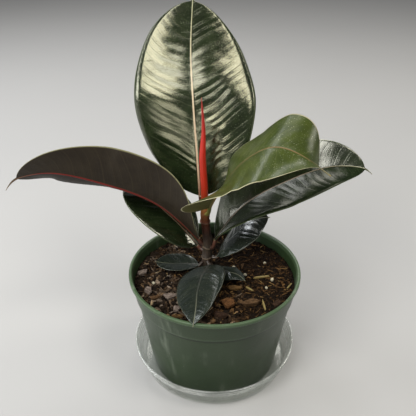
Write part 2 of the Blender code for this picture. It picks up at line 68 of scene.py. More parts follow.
SAUCER_RIM_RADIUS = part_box("saucer")[1][0] / MM
SAUCER_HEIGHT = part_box("saucer")[1][2] / MM
SAUCER_FOOT_RADIUS = 67.5
SAUCER_FLOOR = 1.2
SAUCER_STEP_Z = 0.56 * SAUCER_HEIGHT
SAUCER_BEADS = (4.6, 7.6)           # how far below the rim the wall's two raised lines run

STEM_X = -0.09 * POT_RIM_RADIUS
STEM_Y = 0.213 * POT_RIM_RADIUS
STEM_RADIUS = 4.9
PETIOLE_RADIUS = 1.7
LEAF_THICKNESS = 0.8
SOIL_Z = RIM_Z - 10.8
MIX_RADIUS = 73.0                   # the loose bits and crumbs are spread over a mix this wide
GAP = 0.3                           # clearance of the mix to the pot

# Height, sideways and backward lean, radius as a share of STEM_RADIUS.
STEM_PROFILE = [
    (-12.0, 0.0, 0.0, 1.00), (-8.0, 0.0, 0.0, 1.00), (-2.0, 0.1, 0.3, 0.96), (1.0, 0.2, 0.6, 1.06),
    (3.0, 0.3, 0.8, 0.97), (8.0, 0.5, 1.4, 0.93), (11.5, 0.6, 1.8, 1.04), (14.0, 0.6, 2.1, 0.92),
    (20.0, 0.2, 2.6, 0.84), (27.0, -0.6, 2.9, 0.80), (34.0, -1.3, 3.0, 0.78), (37.0, -1.6, 3.0, 0.90),
    (38.2, -1.7, 3.0, 0.92), (39.4, -1.7, 3.0, 0.80), (44.0, -1.7, 3.0, 0.84), (49.0, -1.7, 3.0, 0.80),
    (53.4, -1.7, 3.0, 0.70),
]
SHEATH_PROFILE = [
    (50.0, -1.7, 3.0, 0.60), (53.4, -1.7, 3.0, 0.68), (57.0, -1.8, 2.9, 0.74), (72.0, -2.2, 2.7, 0.72),
    (90.0, -3.2, 2.5, 0.66), (102.0, -3.7, 2.4, 0.63), (114.0, -3.2, 2.4, 0.52), (124.0, -2.7, 2.5, 0.38),
    (134.0, -2.9, 2.7, 0.28), (146.0, -3.7, 3.1, 0.16), (154.5, -4.4, 3.5, 0.03),
]

# Each leaf: the height it leaves the stem, its midrib's points, the way its upper face looks, half its
# width, its fold and curl on the two sides in degrees, its outline (base on each side, tip, length of the
# drip tip, lobe), the roll of its margins, the spacing of its side veins and the depth of their relief.
# A hook bends the tip away by so many millimetres.
LEAVES = {
    "leaf_upright": dict(
        node=46, midrib=[(-6, 14, 58), (-9, 23, 101), (-12, 36, 141), (-14, 60, 176), (-12, 80, 215)],
        facing=[(-0.43, -0.69, 0.59), (-0.14, -0.59, 0.79), (0.10, -0.67, 0.74)], half_width=54,
        fold=[(7, 11), (7, 1), (2, 0)], curl=(-22, -18), fullness=(0.55, 0.59, 0.59), drip=0.012, lobe=0,
        roll=(-70, -50), veins=8.6, relief=1.25),
    "leaf_left": dict(
        node=14, midrib=[(-8, 1, 20), (-44, 11, 50), (-89, 7, 73), (-136, 0, 88), (-180, 9, 73)],
        facing=[(-0.28, 0.34, 0.90), (-0.69, 0.62, 0.38), (-0.49, 0.86, -0.16)], half_width=41.5,
        fold=[(17, 30), (5, 34), (-11, 14)], curl=(-1, 59), fullness=(0.46, 0.80, 0.82), drip=0.08, lobe=0,
        roll=(0, 0), veins=9.0, relief=0.5, hook=(2, 0, -7)),
    "leaf_lower_left": dict(
        node=6, midrib=[(-9, 5, 10), (-25, 13, 26), (-42, 26, 36), (-59, 41, 44), (-77, 57, 48)],
        facing=[(0.04, -0.36, 0.93), (0.12, -0.33, 0.94), (0.11, -0.36, 0.93)], half_width=31,
        fold=[(17, 0), (21, -6), (20, 0)], curl=(-5, -1), fullness=(0.60, 0.75, 0.55), drip=0.04, lobe=0,
        roll=(-40, 0), veins=8.5, relief=1.2),
    "leaf_young": dict(
        node=47, midrib=[(3, -6, 59), (11, -21, 83), (30, -26, 112), (51, -38, 130), (92, -62, 118)],
        facing=[(-0.75, 0.62, 0.21), (-0.33, 0.05, 0.94), (-0.51, -0.11, 0.85), (0.95, -0.21, -0.25)],
        half_width=41, fold=[(23, 21), (-1, -6), (-3, -9)], curl=(2, 7), fullness=(1.20, 0.35, 0.48),
        drip=0.06, lobe=2, roll=(0, 0), veins=9.0, relief=0.35),
    "leaf_right": dict(
        node=11, midrib=[(8, -4, 22), (33, 1, 55), (71, 11, 74), (111, 12, 88), (148, 9, 86)],
        facing=[(-0.30, 0.12, 0.93), (0.30, -0.15, 0.90), (0.39, -0.62, 0.68)], half_width=36,
        fold=[(18, 17), (19, 15), (18, 15)], curl=(5, -3), fullness=(0.56, 0.52, 0.67), drip=0.06, lobe=0,
        roll=(0, -45), veins=9.5, relief=0.55, hook=(-4, 0, -4)),
    "leaf_lower_right": dict(
        node=0, midrib=[(10, -2, 2), (19, 2, 15), (30, 5, 26), (43, 10, 34), (58, 12, 36)],
        facing=[(-0.62, 0.11, 0.78), (-0.58, -0.12, 0.81), (-0.37, -0.48, 0.80)], half_width=22,
        fold=[(1, 4), (0, 2), (4, 1)], curl=(-28, -22), fullness=(0.56, 0.58, 0.65), drip=0.03, lobe=0,
        roll=(0, 0), veins=7.0, relief=1.0),
    "leaf_front": dict(
        node=-2, midrib=[(2, -10, -3), (-4, -31, 2), (-8, -53, 2), (-9, -75, 2), (-11, -96, 1)],
        facing=[(-0.34, -0.34, 0.87), (-0.25, -0.37, 0.89), (-0.13, -0.37, 0.92)], half_width=21,
        fold=[(11, 9), (8, 7), (8, 9)], curl=(-25, -24), fullness=(0.42, 0.40, 0.79), drip=0.03, lobe=0,
        roll=(-20, 0), veins=6.5, relief=1.1),
    "leaf_low_left": dict(
        node=-4, midrib=[(-8, -5, -6), (-18, -4, -5), (-27, -4, -5), (-37, -6, -3), (-48, -6, -1)],
        facing=[(0.00, -0.10, 0.99), (0.00, -0.09, 1.00), (-0.01, -0.15, 0.99)], half_width=12.7,
        fold=[(11, 10), (10, 9), (6, 8)], curl=(3, 1), fullness=(0.66, 0.63, 0.63), drip=0.03, lobe=0,
        roll=(0, 0), veins=5.5, relief=1.1),
    "leaf_low_right": dict(
        node=-5, midrib=[(7, -9, -6), (14, -16, -4), (20, -22, -1), (28, -28, 0), (34, -34, -2)],
        facing=[(0.08, -0.32, 0.94), (0.12, -0.33, 0.94), (0.42, 0.05, 0.90)], half_width=9.4,
        fold=[(0, 0), (2, -1), (-6, 0)], curl=(-20, -22), fullness=(0.59, 0.60, 0.65), drip=0.03, lobe=0,
        roll=(0, 0), veins=5.0, relief=1.0),
}

# ---- camera and light --------------------------------------------------------------------------------
scene = bpy.context.scene
scene.view_settings.view_transform = "Standard"
eye = Vector((-0.006, -0.4376, 0.4288))
look = Vector((-0.006, 0.0, 0.1649))
camera_data = bpy.data.cameras.new("camera")
camera_data.lens = 51.9
camera_data.sensor_width = 36.0
camera = bpy.data.objects.new("camera", camera_data)
camera.location = eye
camera.rotation_euler = (look - eye).to_track_quat("-Z", "Y").to_euler()
scene.collection.objects.link(camera)
scene.camera = camera


def panel(name, turn, rise, distance, width, height, power, colour):
    """A soft light panel facing the plant; turn is from the back toward the right, in degrees."""
    data = bpy.data.lights.new(name, "AREA")
    data.shape = "RECTANGLE"
    data.size = width
    data.size_y = height
    data.energy = power
    data.color = colour
    lamp = bpy.data.objects.new(name, data)
    turn, rise = math.radians(turn), math.radians(rise)
    away = Vector((math.sin(turn) * math.cos(rise), math.cos(turn) * math.cos(rise), math.sin(rise)))
    lamp.location = Vector((0.0, 0.0, 0.18)) + distance * away
    lamp.rotation_euler = (-away).to_track_quat("-Z", "Y").to_euler()
    scene.collection.objects.link(lamp)


panel("light_front_left", -138, 40, 1.3, 0.62, 0.46, 11.8, (1.0, 0.98, 0.91))
panel("light_front_right", 124, 60, 1.3, 0.46, 0.46, 8.5, (1.0, 0.97, 0.90))
panel("light_left", -92, 14, 1.4, 0.50, 0.50, 8.0, (0.95, 0.98, 1.0))
panel("light_left_back", -30, 40, 1.4, 0.45, 0.40, 6.0, (0.97, 0.98, 1.0))
panel("light_left_rim", -66, 27, 1.4, 0.45, 0.50, 6.2, (0.97, 0.98, 1.0))
panel("light_back", 8, 45, 1.4, 0.55, 0.36, 5.5, (1.0, 0.98, 0.92))
panel("light_above", -150, 61, 1.3, 0.52, 0.40, 6.6, (0.97, 0.98, 1.0))
panel("light_low", -150, 5, 1.3, 0.33, 0.32, 2.2, (1.0, 0.98, 0.90))
panel("light_right", 72, 24, 1.5, 0.42, 0.40, 7.5, (1.0, 0.96, 0.88))

world = bpy.data.worlds.new("studio")
scene.world = world
world.use_nodes = True
world.node_tree.nodes["Background"].inputs["Color"].default_value = (0.84, 0.86, 0.88, 1.0)
world.node_tree.nodes["Background"].inputs["Strength"].default_value = 0.19


# ---- shader graphs -----------------------------------------------------------------------------------
class Graph:
    """A material and short names for the nodes in it."""

    def __init__(self, name):
        self.material = bpy.data.materials.new(name)
        self.material.use_nodes = True
        self.tree = self.material.node_tree
        self.shader = self.tree.nodes["Principled BSDF"]

    def put(self, socket, value):
        """Link a socket, or set its value."""
        if isinstance(value, bpy.types.NodeSocket):
            self.tree.links.new(value, socket)
        elif hasattr(value, "__len__") and len(value) == 3 and len(socket.default_value) == 4:
            socket.default_value = (*value, 1.0)
        else:
            socket.default_value = value

    def node(self, kind, values=(), **settings):
        """A node with its settings, and its first sockets filled with the values."""
        node = self.tree.nodes.new(kind)
        for key, value in settings.items():
            setattr(node, key, value)
        for socket, value in zip(node.inputs, values):
            self.put(socket, value)
        return node

    def math(self, operation, *values):
        return self.node("ShaderNodeMath", values, operation=operation).outputs[0]

    def plus(self, first, second):
        return self.math("ADD", first, second)

    def times(self, first, second):
        return self.math("MULTIPLY", first, second)

    def power(self, value, exponent):
        return self.math("POWER", value, exponent)

    def most(self, first, *others):
        """The largest of the values."""
        for value in others:
            first = self.math("MAXIMUM", first, value)
        return first

    def away(self, value, centre):
        """How far the value is from a centre."""
        return self.math("ABSOLUTE", self.math("SUBTRACT", value, centre))

    def steps(self, value, low, high, out_low=0.0, out_high=1.0):
        """Smooth step of a value from one limit to the other."""
        given = (value, low, high, out_low, out_high)
        return self.node("ShaderNodeMapRange", given, interpolation_type="SMOOTHSTEP").outputs[0]

    def band(self, value, centre, outer, inner):
        """1 within the inner distance of the centre, 0 beyond the outer one."""
        return self.steps(self.away(value, centre), outer, inner)

    def mix(self, share, first, second):
        node = self.node("ShaderNodeMix", data_type="RGBA")
        for index, value in ((0, share), (6, first), (7, second)):
            self.put(node.inputs[index], value)
        return node.outputs[2]

    def blend(self, share, first, second):
        """A mix of two shaders."""
        return self.node("ShaderNodeMixShader", (share, first, second)).outputs[0]

    def ramp(self, value, stops):
        node = self.node("ShaderNodeValToRGB", (value,))
        while len(node.color_ramp.elements) < len(stops):
            node.color_ramp.elements.new(0.5)
        for element, (place, colour) in zip(node.color_ramp.elements, stops):
            element.position = place
            element.color = (*colour, 1.0)
        return node.outputs[0]

    def noise(self, place, scale, detail=3.0, roughness=0.5, distortion=0.0):
        node = self.node("ShaderNodeTexNoise")
        self.fill(node, Vector=place, Scale=scale, Detail=detail, Roughness=roughness, Distortion=distortion)
        return node.outputs[0]

    def stretch(self, place, scale):
        """The place, stretched by a factor along each axis."""
        return self.node("ShaderNodeVectorMath", (place, scale), operation="MULTIPLY").outputs[0]

    def split(self, place):
        return self.node("ShaderNodeSeparateXYZ", (place,)).outputs

    def map(self, name):
        return self.node("ShaderNodeUVMap", uv_map=name).outputs[0]

    def place(self):
        return self.node("ShaderNodeTexCoord").outputs["Object"]

    def bump(self, height, distance):
        node = self.node("ShaderNodeBump")
        self.fill(node, Strength=1.0, Distance=distance, Height=height)
        return node.outputs[0]

    def fill(self, node, **sockets):
        """Fill a node's sockets by name, with _ for each space."""
        for name, value in sockets.items():
            self.put(node.inputs[name.replace("_", " ")], value)

    def finish(self, **sockets):
        """Fill the shader's sockets and hand back the material."""
        self.fill(self.shader, **sockets)
        return self.material


def vein_lines(g, along, fine_rate, fine_spacing, fine_edges, shares):
    """Side veins, one at each whole number, and finer veins between them, each with its share of strength."""
    def near_whole(value, spacing):
        part = g.math("FRACT", g.plus(value, 0.5))
        return g.times(g.away(part, 0.5), spacing)

    main = g.steps(near_whole(along, 10.0), 0.8, 0.1)
    fine = g.steps(near_whole(g.times(along, fine_rate), fine_spacing), *fine_edges)
    return g.plus(g.times(main, shares[0]), g.times(fine, shares[1]))


def upper_face(name, dark, light, vein, rib, edge, gloss, speckle, wax, level, grain):
    """Waxy upper face of a leaf: veins, midrib, margin line, faint dust.

    A pair of specular levels is for the two sides of the midrib.
    """
    g = Graph(name)
    along, side, _ = g.split(g.map("veins"))
    aside, share, _ = g.split(g.map("rib"))
    skin = g.map("skin")
    across = g.math("ABSOLUTE", side)
    colour = g.mix(g.steps(g.noise(skin, 0.9, 4.0), 0.35, 0.68), dark, light)
    lines = vein_lines(g, along, 3.0, 3.3, (0.5, 0.1), (0.42, 0.16))
    fade = g.math("SUBTRACT", 1.0, g.power(across, 3.0))
    colour = g.mix(g.times(lines, fade), colour, vein)
    dust = g.steps(g.noise(skin, 11.0, 1.0), 0.69, 0.73)
    colour = g.mix(g.times(dust, speckle), colour, (0.30, 0.31, 0.22))
    colour = g.mix(g.steps(across, 0.962, 0.992), colour, edge)
    stripe = g.steps(g.math("ABSOLUTE", aside), 0.82, 0.52)
    colour = g.mix(stripe, colour, g.ramp(share, rib))
    rough = g.plus(gloss, g.times(g.noise(skin, 2.2, 5.0, 0.6), 0.12))
    rough = g.plus(rough, g.times(stripe, 0.25))
    pores = g.times(g.noise(g.stretch(skin, (1.5, 0.8, 1.0)), 8.0, 3.0, 0.6), 0.75)
    ripple = g.times(g.noise(g.stretch(skin, (2.2, 0.8, 1.0)), 2.2, 4.0, 0.6), 1.2)
    height = g.plus(g.plus(pores, ripple), g.times(lines, -0.9))
    if isinstance(level, tuple):
        level = g.steps(aside, -0.5, 0.5, *level)
    return g.finish(Base_Color=colour, Roughness=rough, Specular_IOR_Level=level, Specular_Tint=wax,
                    Normal=g.bump(height, grain))


def under_face(name, dark, light, vein, rib, edge):
    """Dull under face of a leaf with its fine veins."""
    g = Graph(name)
    along, side, _ = g.split(g.map("veins"))
    aside, share, _ = g.split(g.map("rib"))
    skin = g.map("skin")
    colour = g.mix(g.steps(g.noise(skin, 0.7, 5.0), 0.3, 0.7), dark, light)
    lines = vein_lines(g, along, 4.0, 2.5, (0.45, 0.05), (0.35, 0.20))
    colour = g.mix(lines, colour, vein)
    mottle = g.steps(g.noise(skin, 9.0, 3.0), 0.55, 0.75)
    colour = g.mix(g.times(mottle, 0.25), colour, light)
    colour = g.mix(g.steps(g.math("ABSOLUTE", side), 0.955, 0.99), colour, edge)
    stripe = g.steps(g.math("ABSOLUTE", aside), 1.1, 0.75)
    colour = g.mix(stripe, colour, g.ramp(share, rib))
    rough = g.plus(0.42, g.times(g.noise(skin, 3.0, 4.0), 0.2))
    height = g.plus(g.noise(skin, 12.0, 4.0, 0.6), lines)
    return g.finish(Base_Color=colour, Roughness=rough, Specular_IOR_Level=0.22,
                    Normal=g.bump(height, 0.00010))


def petiole_skin(name, base, top):
    """Leaf stalk: smooth, a little streaked, changing colour toward the blade."""
    g = Graph(name)
    share = g.split(g.map("rib"))[1]
    colour = g.ramp(share, [(0.0, base), (1.0, top)])
    streaks = g.noise(g.stretch(g.map("skin"), (0.6, 6.0, 1.0)), 3.0, 3.0)
    colour = g.mix(g.steps(streaks, 0.5, 0.8, 0.0, 0.35), colour, (0.14, 0.085, 0.05))
    return g.finish(Base_Color=colour, Roughness=0.34, Normal=g.bump(streaks, 0.0002))


MATURE = dict(dark=(0.0060, 0.0105, 0.0038), light=(0.0125, 0.0200, 0.0070), vein=(0.026, 0.036, 0.015),
              edge=(0.075, 0.095, 0.045), speckle=0.25)
MATURE_TOP = upper_face(
    "leaf_upper_mature", **MATURE, gloss=0.10, wax=(1.0, 0.97, 0.72), level=0.80, grain=0.00010,
    rib=[(0.0, (0.20, 0.075, 0.045)), (0.12, (0.40, 0.26, 0.17)), (0.6, (0.52, 0.41, 0.29)),
         (1.0, (0.22, 0.23, 0.13))])
SIDE_TOP = upper_face(
    "leaf_upper_side", **MATURE, gloss=0.12, wax=(1.0, 0.98, 0.84), level=(0.95, 0.17), grain=0.00008,
    rib=[(0.0, (0.040, 0.022, 0.014)), (0.15, (0.11, 0.065, 0.042)), (0.6, (0.20, 0.145, 0.095)),
         (1.0, (0.17, 0.17, 0.09))])
LOW_TOP = upper_face(
    "leaf_upper_low", dark=(0.0085, 0.0125, 0.0095), light=(0.0170, 0.0220, 0.0160),
    vein=(0.028, 0.034, 0.024), edge=(0.110, 0.115, 0.080), gloss=0.15, speckle=0.35,
    wax=(0.94, 0.98, 1.0), level=0.75, grain=0.00010,
    rib=[(0.0, (0.024, 0.022, 0.017)), (0.5, (0.030, 0.033, 0.025)), (1.0, (0.150, 0.150, 0.090))])
YOUNG_TOP = upper_face(
    "leaf_upper_young", dark=(0.020, 0.031, 0.0022), light=(0.033, 0.046, 0.0036),
    vein=(0.048, 0.060, 0.0085), edge=(0.50, 0.46, 0.30), gloss=0.30, speckle=1.0,
    wax=(1.0, 1.0, 0.90), level=(0.22, 0.28), grain=0.00004,
    rib=[(0.0, (0.040, 0.052, 0.011)), (0.4, (0.085, 0.058, 0.020)), (1.0, (0.140, 0.085, 0.035))])
MATURE_UNDER = under_face(
    "leaf_under_mature", dark=(0.0145, 0.0100, 0.0060), light=(0.0215, 0.0155, 0.0090),
    vein=(0.032, 0.024, 0.013), edge=(0.17, 0.16, 0.08),
    rib=[(0.0, (0.07, 0.016, 0.009)), (0.5, (0.12, 0.010, 0.007)), (0.8, (0.11, 0.010, 0.008)),
         (1.0, (0.17, 0.13, 0.070))])
YOUNG_UNDER = under_face(
    "leaf_under_young", dark=(0.10, 0.10, 0.035), light=(0.15, 0.14, 0.055),
    vein=(0.19, 0.15, 0.07), edge=(0.50, 0.46, 0.30),
    rib=[(0.0, (0.22, 0.17, 0.07)), (0.6, (0.28, 0.13, 0.06)), (1.0, (0.20, 0.15, 0.05))])
MATURE_STALK = petiole_skin("stalk_mature", (0.030, 0.014, 0.008), (0.090, 0.026, 0.014))
LOW_STALK = petiole_skin("stalk_low", (0.020, 0.012, 0.008), (0.035, 0.022, 0.014))
YOUNG_STALK = petiole_skin("stalk_young", (0.20, 0.16, 0.04), (0.16, 0.19, 0.05))


# ---- mesh helpers ------------------------------------------------------------------------------------
def add_mesh(name, points, faces, materials, which=None, maps=None, smooth=True):
    """Mesh object from points in millimetres; maps holds one value per point for each UV map."""
    mesh = bpy.data.meshes.new(name)
    mesh.from_pydata((np.asarray(points, float) * MM).tolist(), [], [list(map(int, f)) for f in faces])
    for material in materials:
        mesh.materials.append(material)
    if which is not None:
        mesh.polygons.foreach_set("material_index", np.asarray(which, np.int32))
    corners = np.empty(len(mesh.loops), np.int32)
    mesh.loops.foreach_get("vertex_index", corners)
    for label, values in (maps or {}).items():
        layer = mesh.uv_layers.new(name=label)
        layer.data.foreach_set("uv", np.asarray(values, np.float32)[corners].ravel())
    mesh.polygons.foreach_set("use_smooth", np.full(len(mesh.polygons), smooth))
    mesh.update()
    piece = bpy.data.objects.new(name, mesh)
    scene.collection.objects.link(piece)
    return piece


def stands_for(piece, node):
    """The piece rides on the plant's one body, in place of a CAD node."""
    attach(piece, "root")
    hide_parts(node)


def tube_faces(rows, count):
    """Quads round a stack of closed rings, and the two caps."""
    first = np.arange(count)
    after = (first + 1) % count
    low = (np.arange(rows - 1) * count)[:, None]
    quads = np.stack([low + first, low + after, low + count + after, low + count + first], -1).reshape(-1, 4)
    return quads.tolist() + [first[::-1].tolist(), ((rows - 1) * count + first).tolist()]


def round_turns(sides):
    """Angles of evenly spaced points round a ring."""
    return np.linspace(0.0, 2 * math.pi, sides, endpoint=False)


def unit(v):
    return v / np.maximum(np.linalg.norm(v, axis=-1, keepdims=True), 1e-12)


def curve(points, shares):
    """Places on the smooth curve through the points."""
    p = np.asarray(points, float)
    steps = np.concatenate([[0.0], np.cumsum(np.linalg.norm(np.diff(p, axis=0), axis=1))])
    steps /= steps[-1]
    last = len(p) - 1
    chords = np.diff(p, axis=0) / np.diff(steps)[:, None]
    slopes = np.zeros_like(p)
    for i in range(1, last):
        weight = (steps[i + 1] - steps[i]) / (steps[i + 1] - steps[i - 1])
        slopes[i] = chords[i - 1] * weight + chords[i] * (1.0 - weight)
    slopes[0] = 1.5 * chords[0] - 0.5 * slopes[1]
    slopes[last] = 1.5 * chords[-1] - 0.5 * slopes[last - 1]
    shares = np.clip(shares, 0.0, 1.0)
    i = np.clip(np.searchsorted(steps, shares, side="right") - 1, 0, last - 1)
    span = (steps[i + 1] - steps[i])[..., None]
    s = (shares[..., None] - steps[i][..., None]) / span
    return ((2 * s ** 3 - 3 * s ** 2 + 1) * p[i] + (s ** 3 - 2 * s ** 2 + s) * span * slopes[i]
            + (3 * s ** 2 - 2 * s ** 3) * p[i + 1] + (s ** 3 - s ** 2) * span * slopes[i + 1])


def direction(points, shares):
    return unit(curve(points, shares + 0.002) - curve(points, shares - 0.002))


def between(keys, shares):
    """Straight interpolation of evenly spaced keys."""
    keys = np.asarray(keys, float)
    place = np.linspace(0.0, 1.0, len(keys))
    return np.stack([np.interp(shares, place, keys[:, k]) for k in range(keys.shape[1])], -1)


def planted(points):
    """Plant millimetres to millimetres in the frame."""
    return np.asarray(points, float) + np.array([STEM_X, STEM_Y, RIM_Z])


def stem_at(height):
    """Centre and radius of the stem at a height."""
    profile = np.array(STEM_PROFILE)
    sideways, back, radius = (np.interp(height, profile[:, 0], profile[:, k]) for k in (1, 2, 3))
    return np.array([sideways, back, height]), radius * STEM_RADIUS


def ripples(x, y, seed):
    """Soft random waves of about unit height with a wavelength of about 1."""
    dice = np.random.RandomState(seed)
    total = np.zeros(np.broadcast(x, y).shape)
    for _ in range(9):
        turn = dice.uniform(0.0, 2.0 * math.pi)
        rate = dice.uniform(0.6, 1.5) * 2.0 * math.pi
        total = total + np.sin(rate * (x * math.cos(turn) + y * math.sin(turn)) + dice.uniform(0.0, 6.3))
    return total / 3.0


# ---- leaves ------------------------------------------------------------------------------------------
class Blade:
    """A leaf's blade in rows along its midrib and columns from one margin to the other."""

    def __init__(self, leaf, number):
        self.leaf = leaf
        self.number = number
        self.midrib = np.array(leaf["midrib"], float)
        fine = curve(self.midrib, np.linspace(0.0, 1.0, 200))
        self.length = np.linalg.norm(np.diff(fine, axis=0), axis=1).sum()
        self.size = min(max(leaf["half_width"] / 40.0, 0.3), 1.0)
        self.stalk = PETIOLE_RADIUS * (0.62 + 0.38 * self.size)
        even = np.linspace(0.0, 1.0, int(min(190, max(70, self.length))))
        self.shares = 0.55 * even + 0.45 * (0.5 - 0.5 * np.cos(math.pi * even))
        half = int(16 + 16 * self.size)
        k = np.arange(-half, half + 1) / half
        self.across = np.sign(k) * np.abs(k) ** 1.3
        self.s = self.shares[:, None]
        self.a = self.across[None, :]
        widths = [np.maximum(self.outline(side), self.stalk * (1.0 - self.shares / 0.02))[:, None]
                  for side in (0, 1)]
        self.width = self.by_side(widths)
        self.reach = self.width * np.abs(self.a)
        self.offset = np.sign(self.a) * self.reach
        self.flat = self.s * self.length

    def by_side(self, pair):
        """The pair's first value left of the midrib, its second right of it."""
        return np.where(self.a > 0, pair[1], pair[0])

    def outline(self, side):
        """Half width along one side: a round blade that ends in a drip tip."""
        base, tip, drip = self.leaf["fullness"][side], self.leaf["fullness"][2], self.leaf["drip"]
        peak = base / (base + tip)
        t = np.clip(self.shares / (1.0 - drip), 0.0, 1.0)
        shape = t ** base * (1.0 - t) ** tip / (peak ** base * (1.0 - peak) ** tip)
        tail = 0.03 * np.minimum((1.0 - self.shares) / drip, 1.0) ** 0.7
        return np.maximum(self.leaf["half_width"] * np.maximum(shape, tail), 0.25)

    def sheet(self):
        """Middle of the folded, curled and rolled blade, with its normals."""
        leaf, a, s, reach, sign = self.leaf, self.a, self.s, self.reach, np.sign(self.a)
        along = direction(self.midrib, self.shares)
        facing = between(leaf["facing"], self.shares)
        up = unit(facing - (facing * along).sum(-1, keepdims=True) * along)
        right = np.cross(along, up)[:, None, :]
        folds = np.radians(between(leaf["fold"], self.shares))
        fold = self.by_side((folds[:, 0:1], folds[:, 1:2]))
        bend = np.radians(self.by_side(leaf["curl"])) + 1e-6
        full = float(leaf["half_width"])
        turned = fold + bend * reach / full
        out = full / bend * (np.sin(turned) - np.sin(fold))
        rise = full / bend * (np.cos(fold) - np.cos(turned))
        margin = np.clip((np.abs(a) - 0.90) / 0.10, 0.0, 1.0) ** 1.5
        roll = np.radians(self.by_side(leaf["roll"])) * margin * np.sin(math.pi * np.clip(s, 0, 1)) ** 0.5
        rise = rise + 0.05 * self.width * np.sin(roll)
        middle = curve(self.midrib, self.shares)[:, None, :]
        middle = middle + (sign * out)[..., None] * right + rise[..., None] * up[:, None, :]
        lobe = leaf["lobe"] * np.abs(a) * np.exp(-s / 0.25) * (a > 0)
        middle = middle - lobe[..., None] * along[:, None, :]
        tilt = turned + roll
        normal = np.cos(tilt)[..., None] * up[:, None, :] - (sign * np.sin(tilt))[..., None] * right
        return middle, normal, along, up

    def side_veins(self):
        """A count that grows toward the tip, with a side vein at each whole number.

        The veins leave the midrib toward the tip and bend on near the margin.
        """
        flat, a = self.flat, np.abs(self.a)
        vein = (flat - self.reach * 0.50 - 0.16 * self.width * a ** 3) / self.leaf["veins"]
        wander = 0.16 * ripples(flat / 60.0, self.offset / 45.0, 40 + self.number)
        return vein + 0.22 * np.sin(1.9 * vein + self.number) + wander + 0.37 * (self.a > 0)

    def relief(self, vein):
        """Height of the surface over the sheet: swellings between the veins and soft waves."""
        flat, offset, reach, s, number = self.flat, self.offset, self.reach, self.s, self.number
        swell = self.leaf["relief"] * (1.0 - np.abs(self.a) ** 4) * np.minimum(1.0, 12 * s * (1 - s))
        swell = swell * np.clip(reach / (2.5 * self.stalk), 0.0, 1.0)
        strength = 0.75 + 0.25 * ripples(flat / 50.0, offset / 30.0, 60 + number)
        relief = 0.17 * np.cos(2 * math.pi * (vein + 0.5)) * strength
        relief = relief + 0.045 * np.cos(2 * math.pi * 3.0 * vein)
        relief = relief + 0.07 * ripples(flat / 13.0, offset / 22.0, 80 + number)
        waves = 0.45 * self.size * ripples(flat / 55.0, offset / 48.0, 20 + number)
        return relief * swell + waves * np.clip(reach / 12.0, 0.0, 1.0)

    def rib(self, places, widths):
        """Width or height of the midrib along the leaf, from its share of the stalk's radius."""
        return self.stalk * np.interp(self.shares, places, widths)[:, None]

    def surfaces(self, vein):
        """Upper and under face, the way they set out from the foot, and the width of the midrib."""
        middle, normal, along, up = self.sheet()
        middle = middle + self.relief(vein)[..., None] * normal
        mid_width = self.rib([0.0, 0.1, 0.5, 1.0], [1.0, 0.86, 0.58, 0.25])
        over_rib = self.rib([0.0, 0.05, 0.2, 1.0], [1.0, 0.55, 0.36, 0.20])
        under_rib = self.rib([0.0, 0.1, 0.4, 1.0], [1.0, 0.85, 0.66, 0.22])
        arch = np.sqrt(np.clip(1.0 - (self.reach / mid_width) ** 2, 0.0, 1.0))
        skin = 0.5 * LEAF_THICKNESS * np.sqrt(np.clip(1.0 - np.abs(self.a) ** 6, 0.0, 1.0))
        skin = skin * np.minimum(1.0, 0.45 + 4.0 * (1.0 - self.s))
        over, under = (np.cbrt(skin ** 3 + (rib * arch) ** 3)[..., None] * normal
                       for rib in (over_rib, under_rib))
        hook = np.array(self.leaf.get("hook", (0, 0, 0)), float)
        droop = (np.clip((self.shares - 0.90) / 0.10, 0.0, 1.0) ** 2)[:, None, None] * hook
        return middle + over + droop, middle - under + droop, along[0], up[0], mid_width

    def petiole(self, along, up):
        """Upper and under half of the stalk, from inside the bark to the blade's foot, and its length."""
        centre, _ = stem_at(self.leaf["node"])
        join = self.midrib[0]
        leaving = join - centre
        leaving[2] = 0.0
        leaving = unit(leaving)
        radius = max(stem_at(self.leaf["node"] + step)[1] for step in (-3, 0, 3))
        start = centre + leaving * (radius - 1.2)
        length = np.linalg.norm(join - start)
        first = start + unit(leaving + np.array([0.0, 0.0, 0.3])) * length * 0.4
        second = join - along * length * 0.33
        t = np.linspace(0.0, 1.0, max(10, int(length / 0.7)), endpoint=False)[:, None]
        place = ((1 - t) ** 3 * start + 3 * (1 - t) ** 2 * t * first + 3 * (1 - t) * t ** 2 * second
                 + t ** 3 * join)
        ahead = unit((1 - t) ** 2 * (first - start) + 2 * (1 - t) * t * (second - first)
                     + t ** 2 * (join - second))
        side = unit(np.cross(ahead, np.broadcast_to(up, ahead.shape)))
        lift = np.cross(side, ahead)[:, None, :]
        thick = (self.stalk * (1.0 + 0.45 * np.exp(-t * length / 2.5)))[:, None]
        flat = self.across[None, :, None] * side[:, None, :]
        arc = np.sqrt(np.clip(1.0 - self.across ** 2, 0.0, 1.0))[None, :, None] * lift
        return place[:, None, :] + thick * (flat + arc), place[:, None, :] + thick * (flat - arc), length


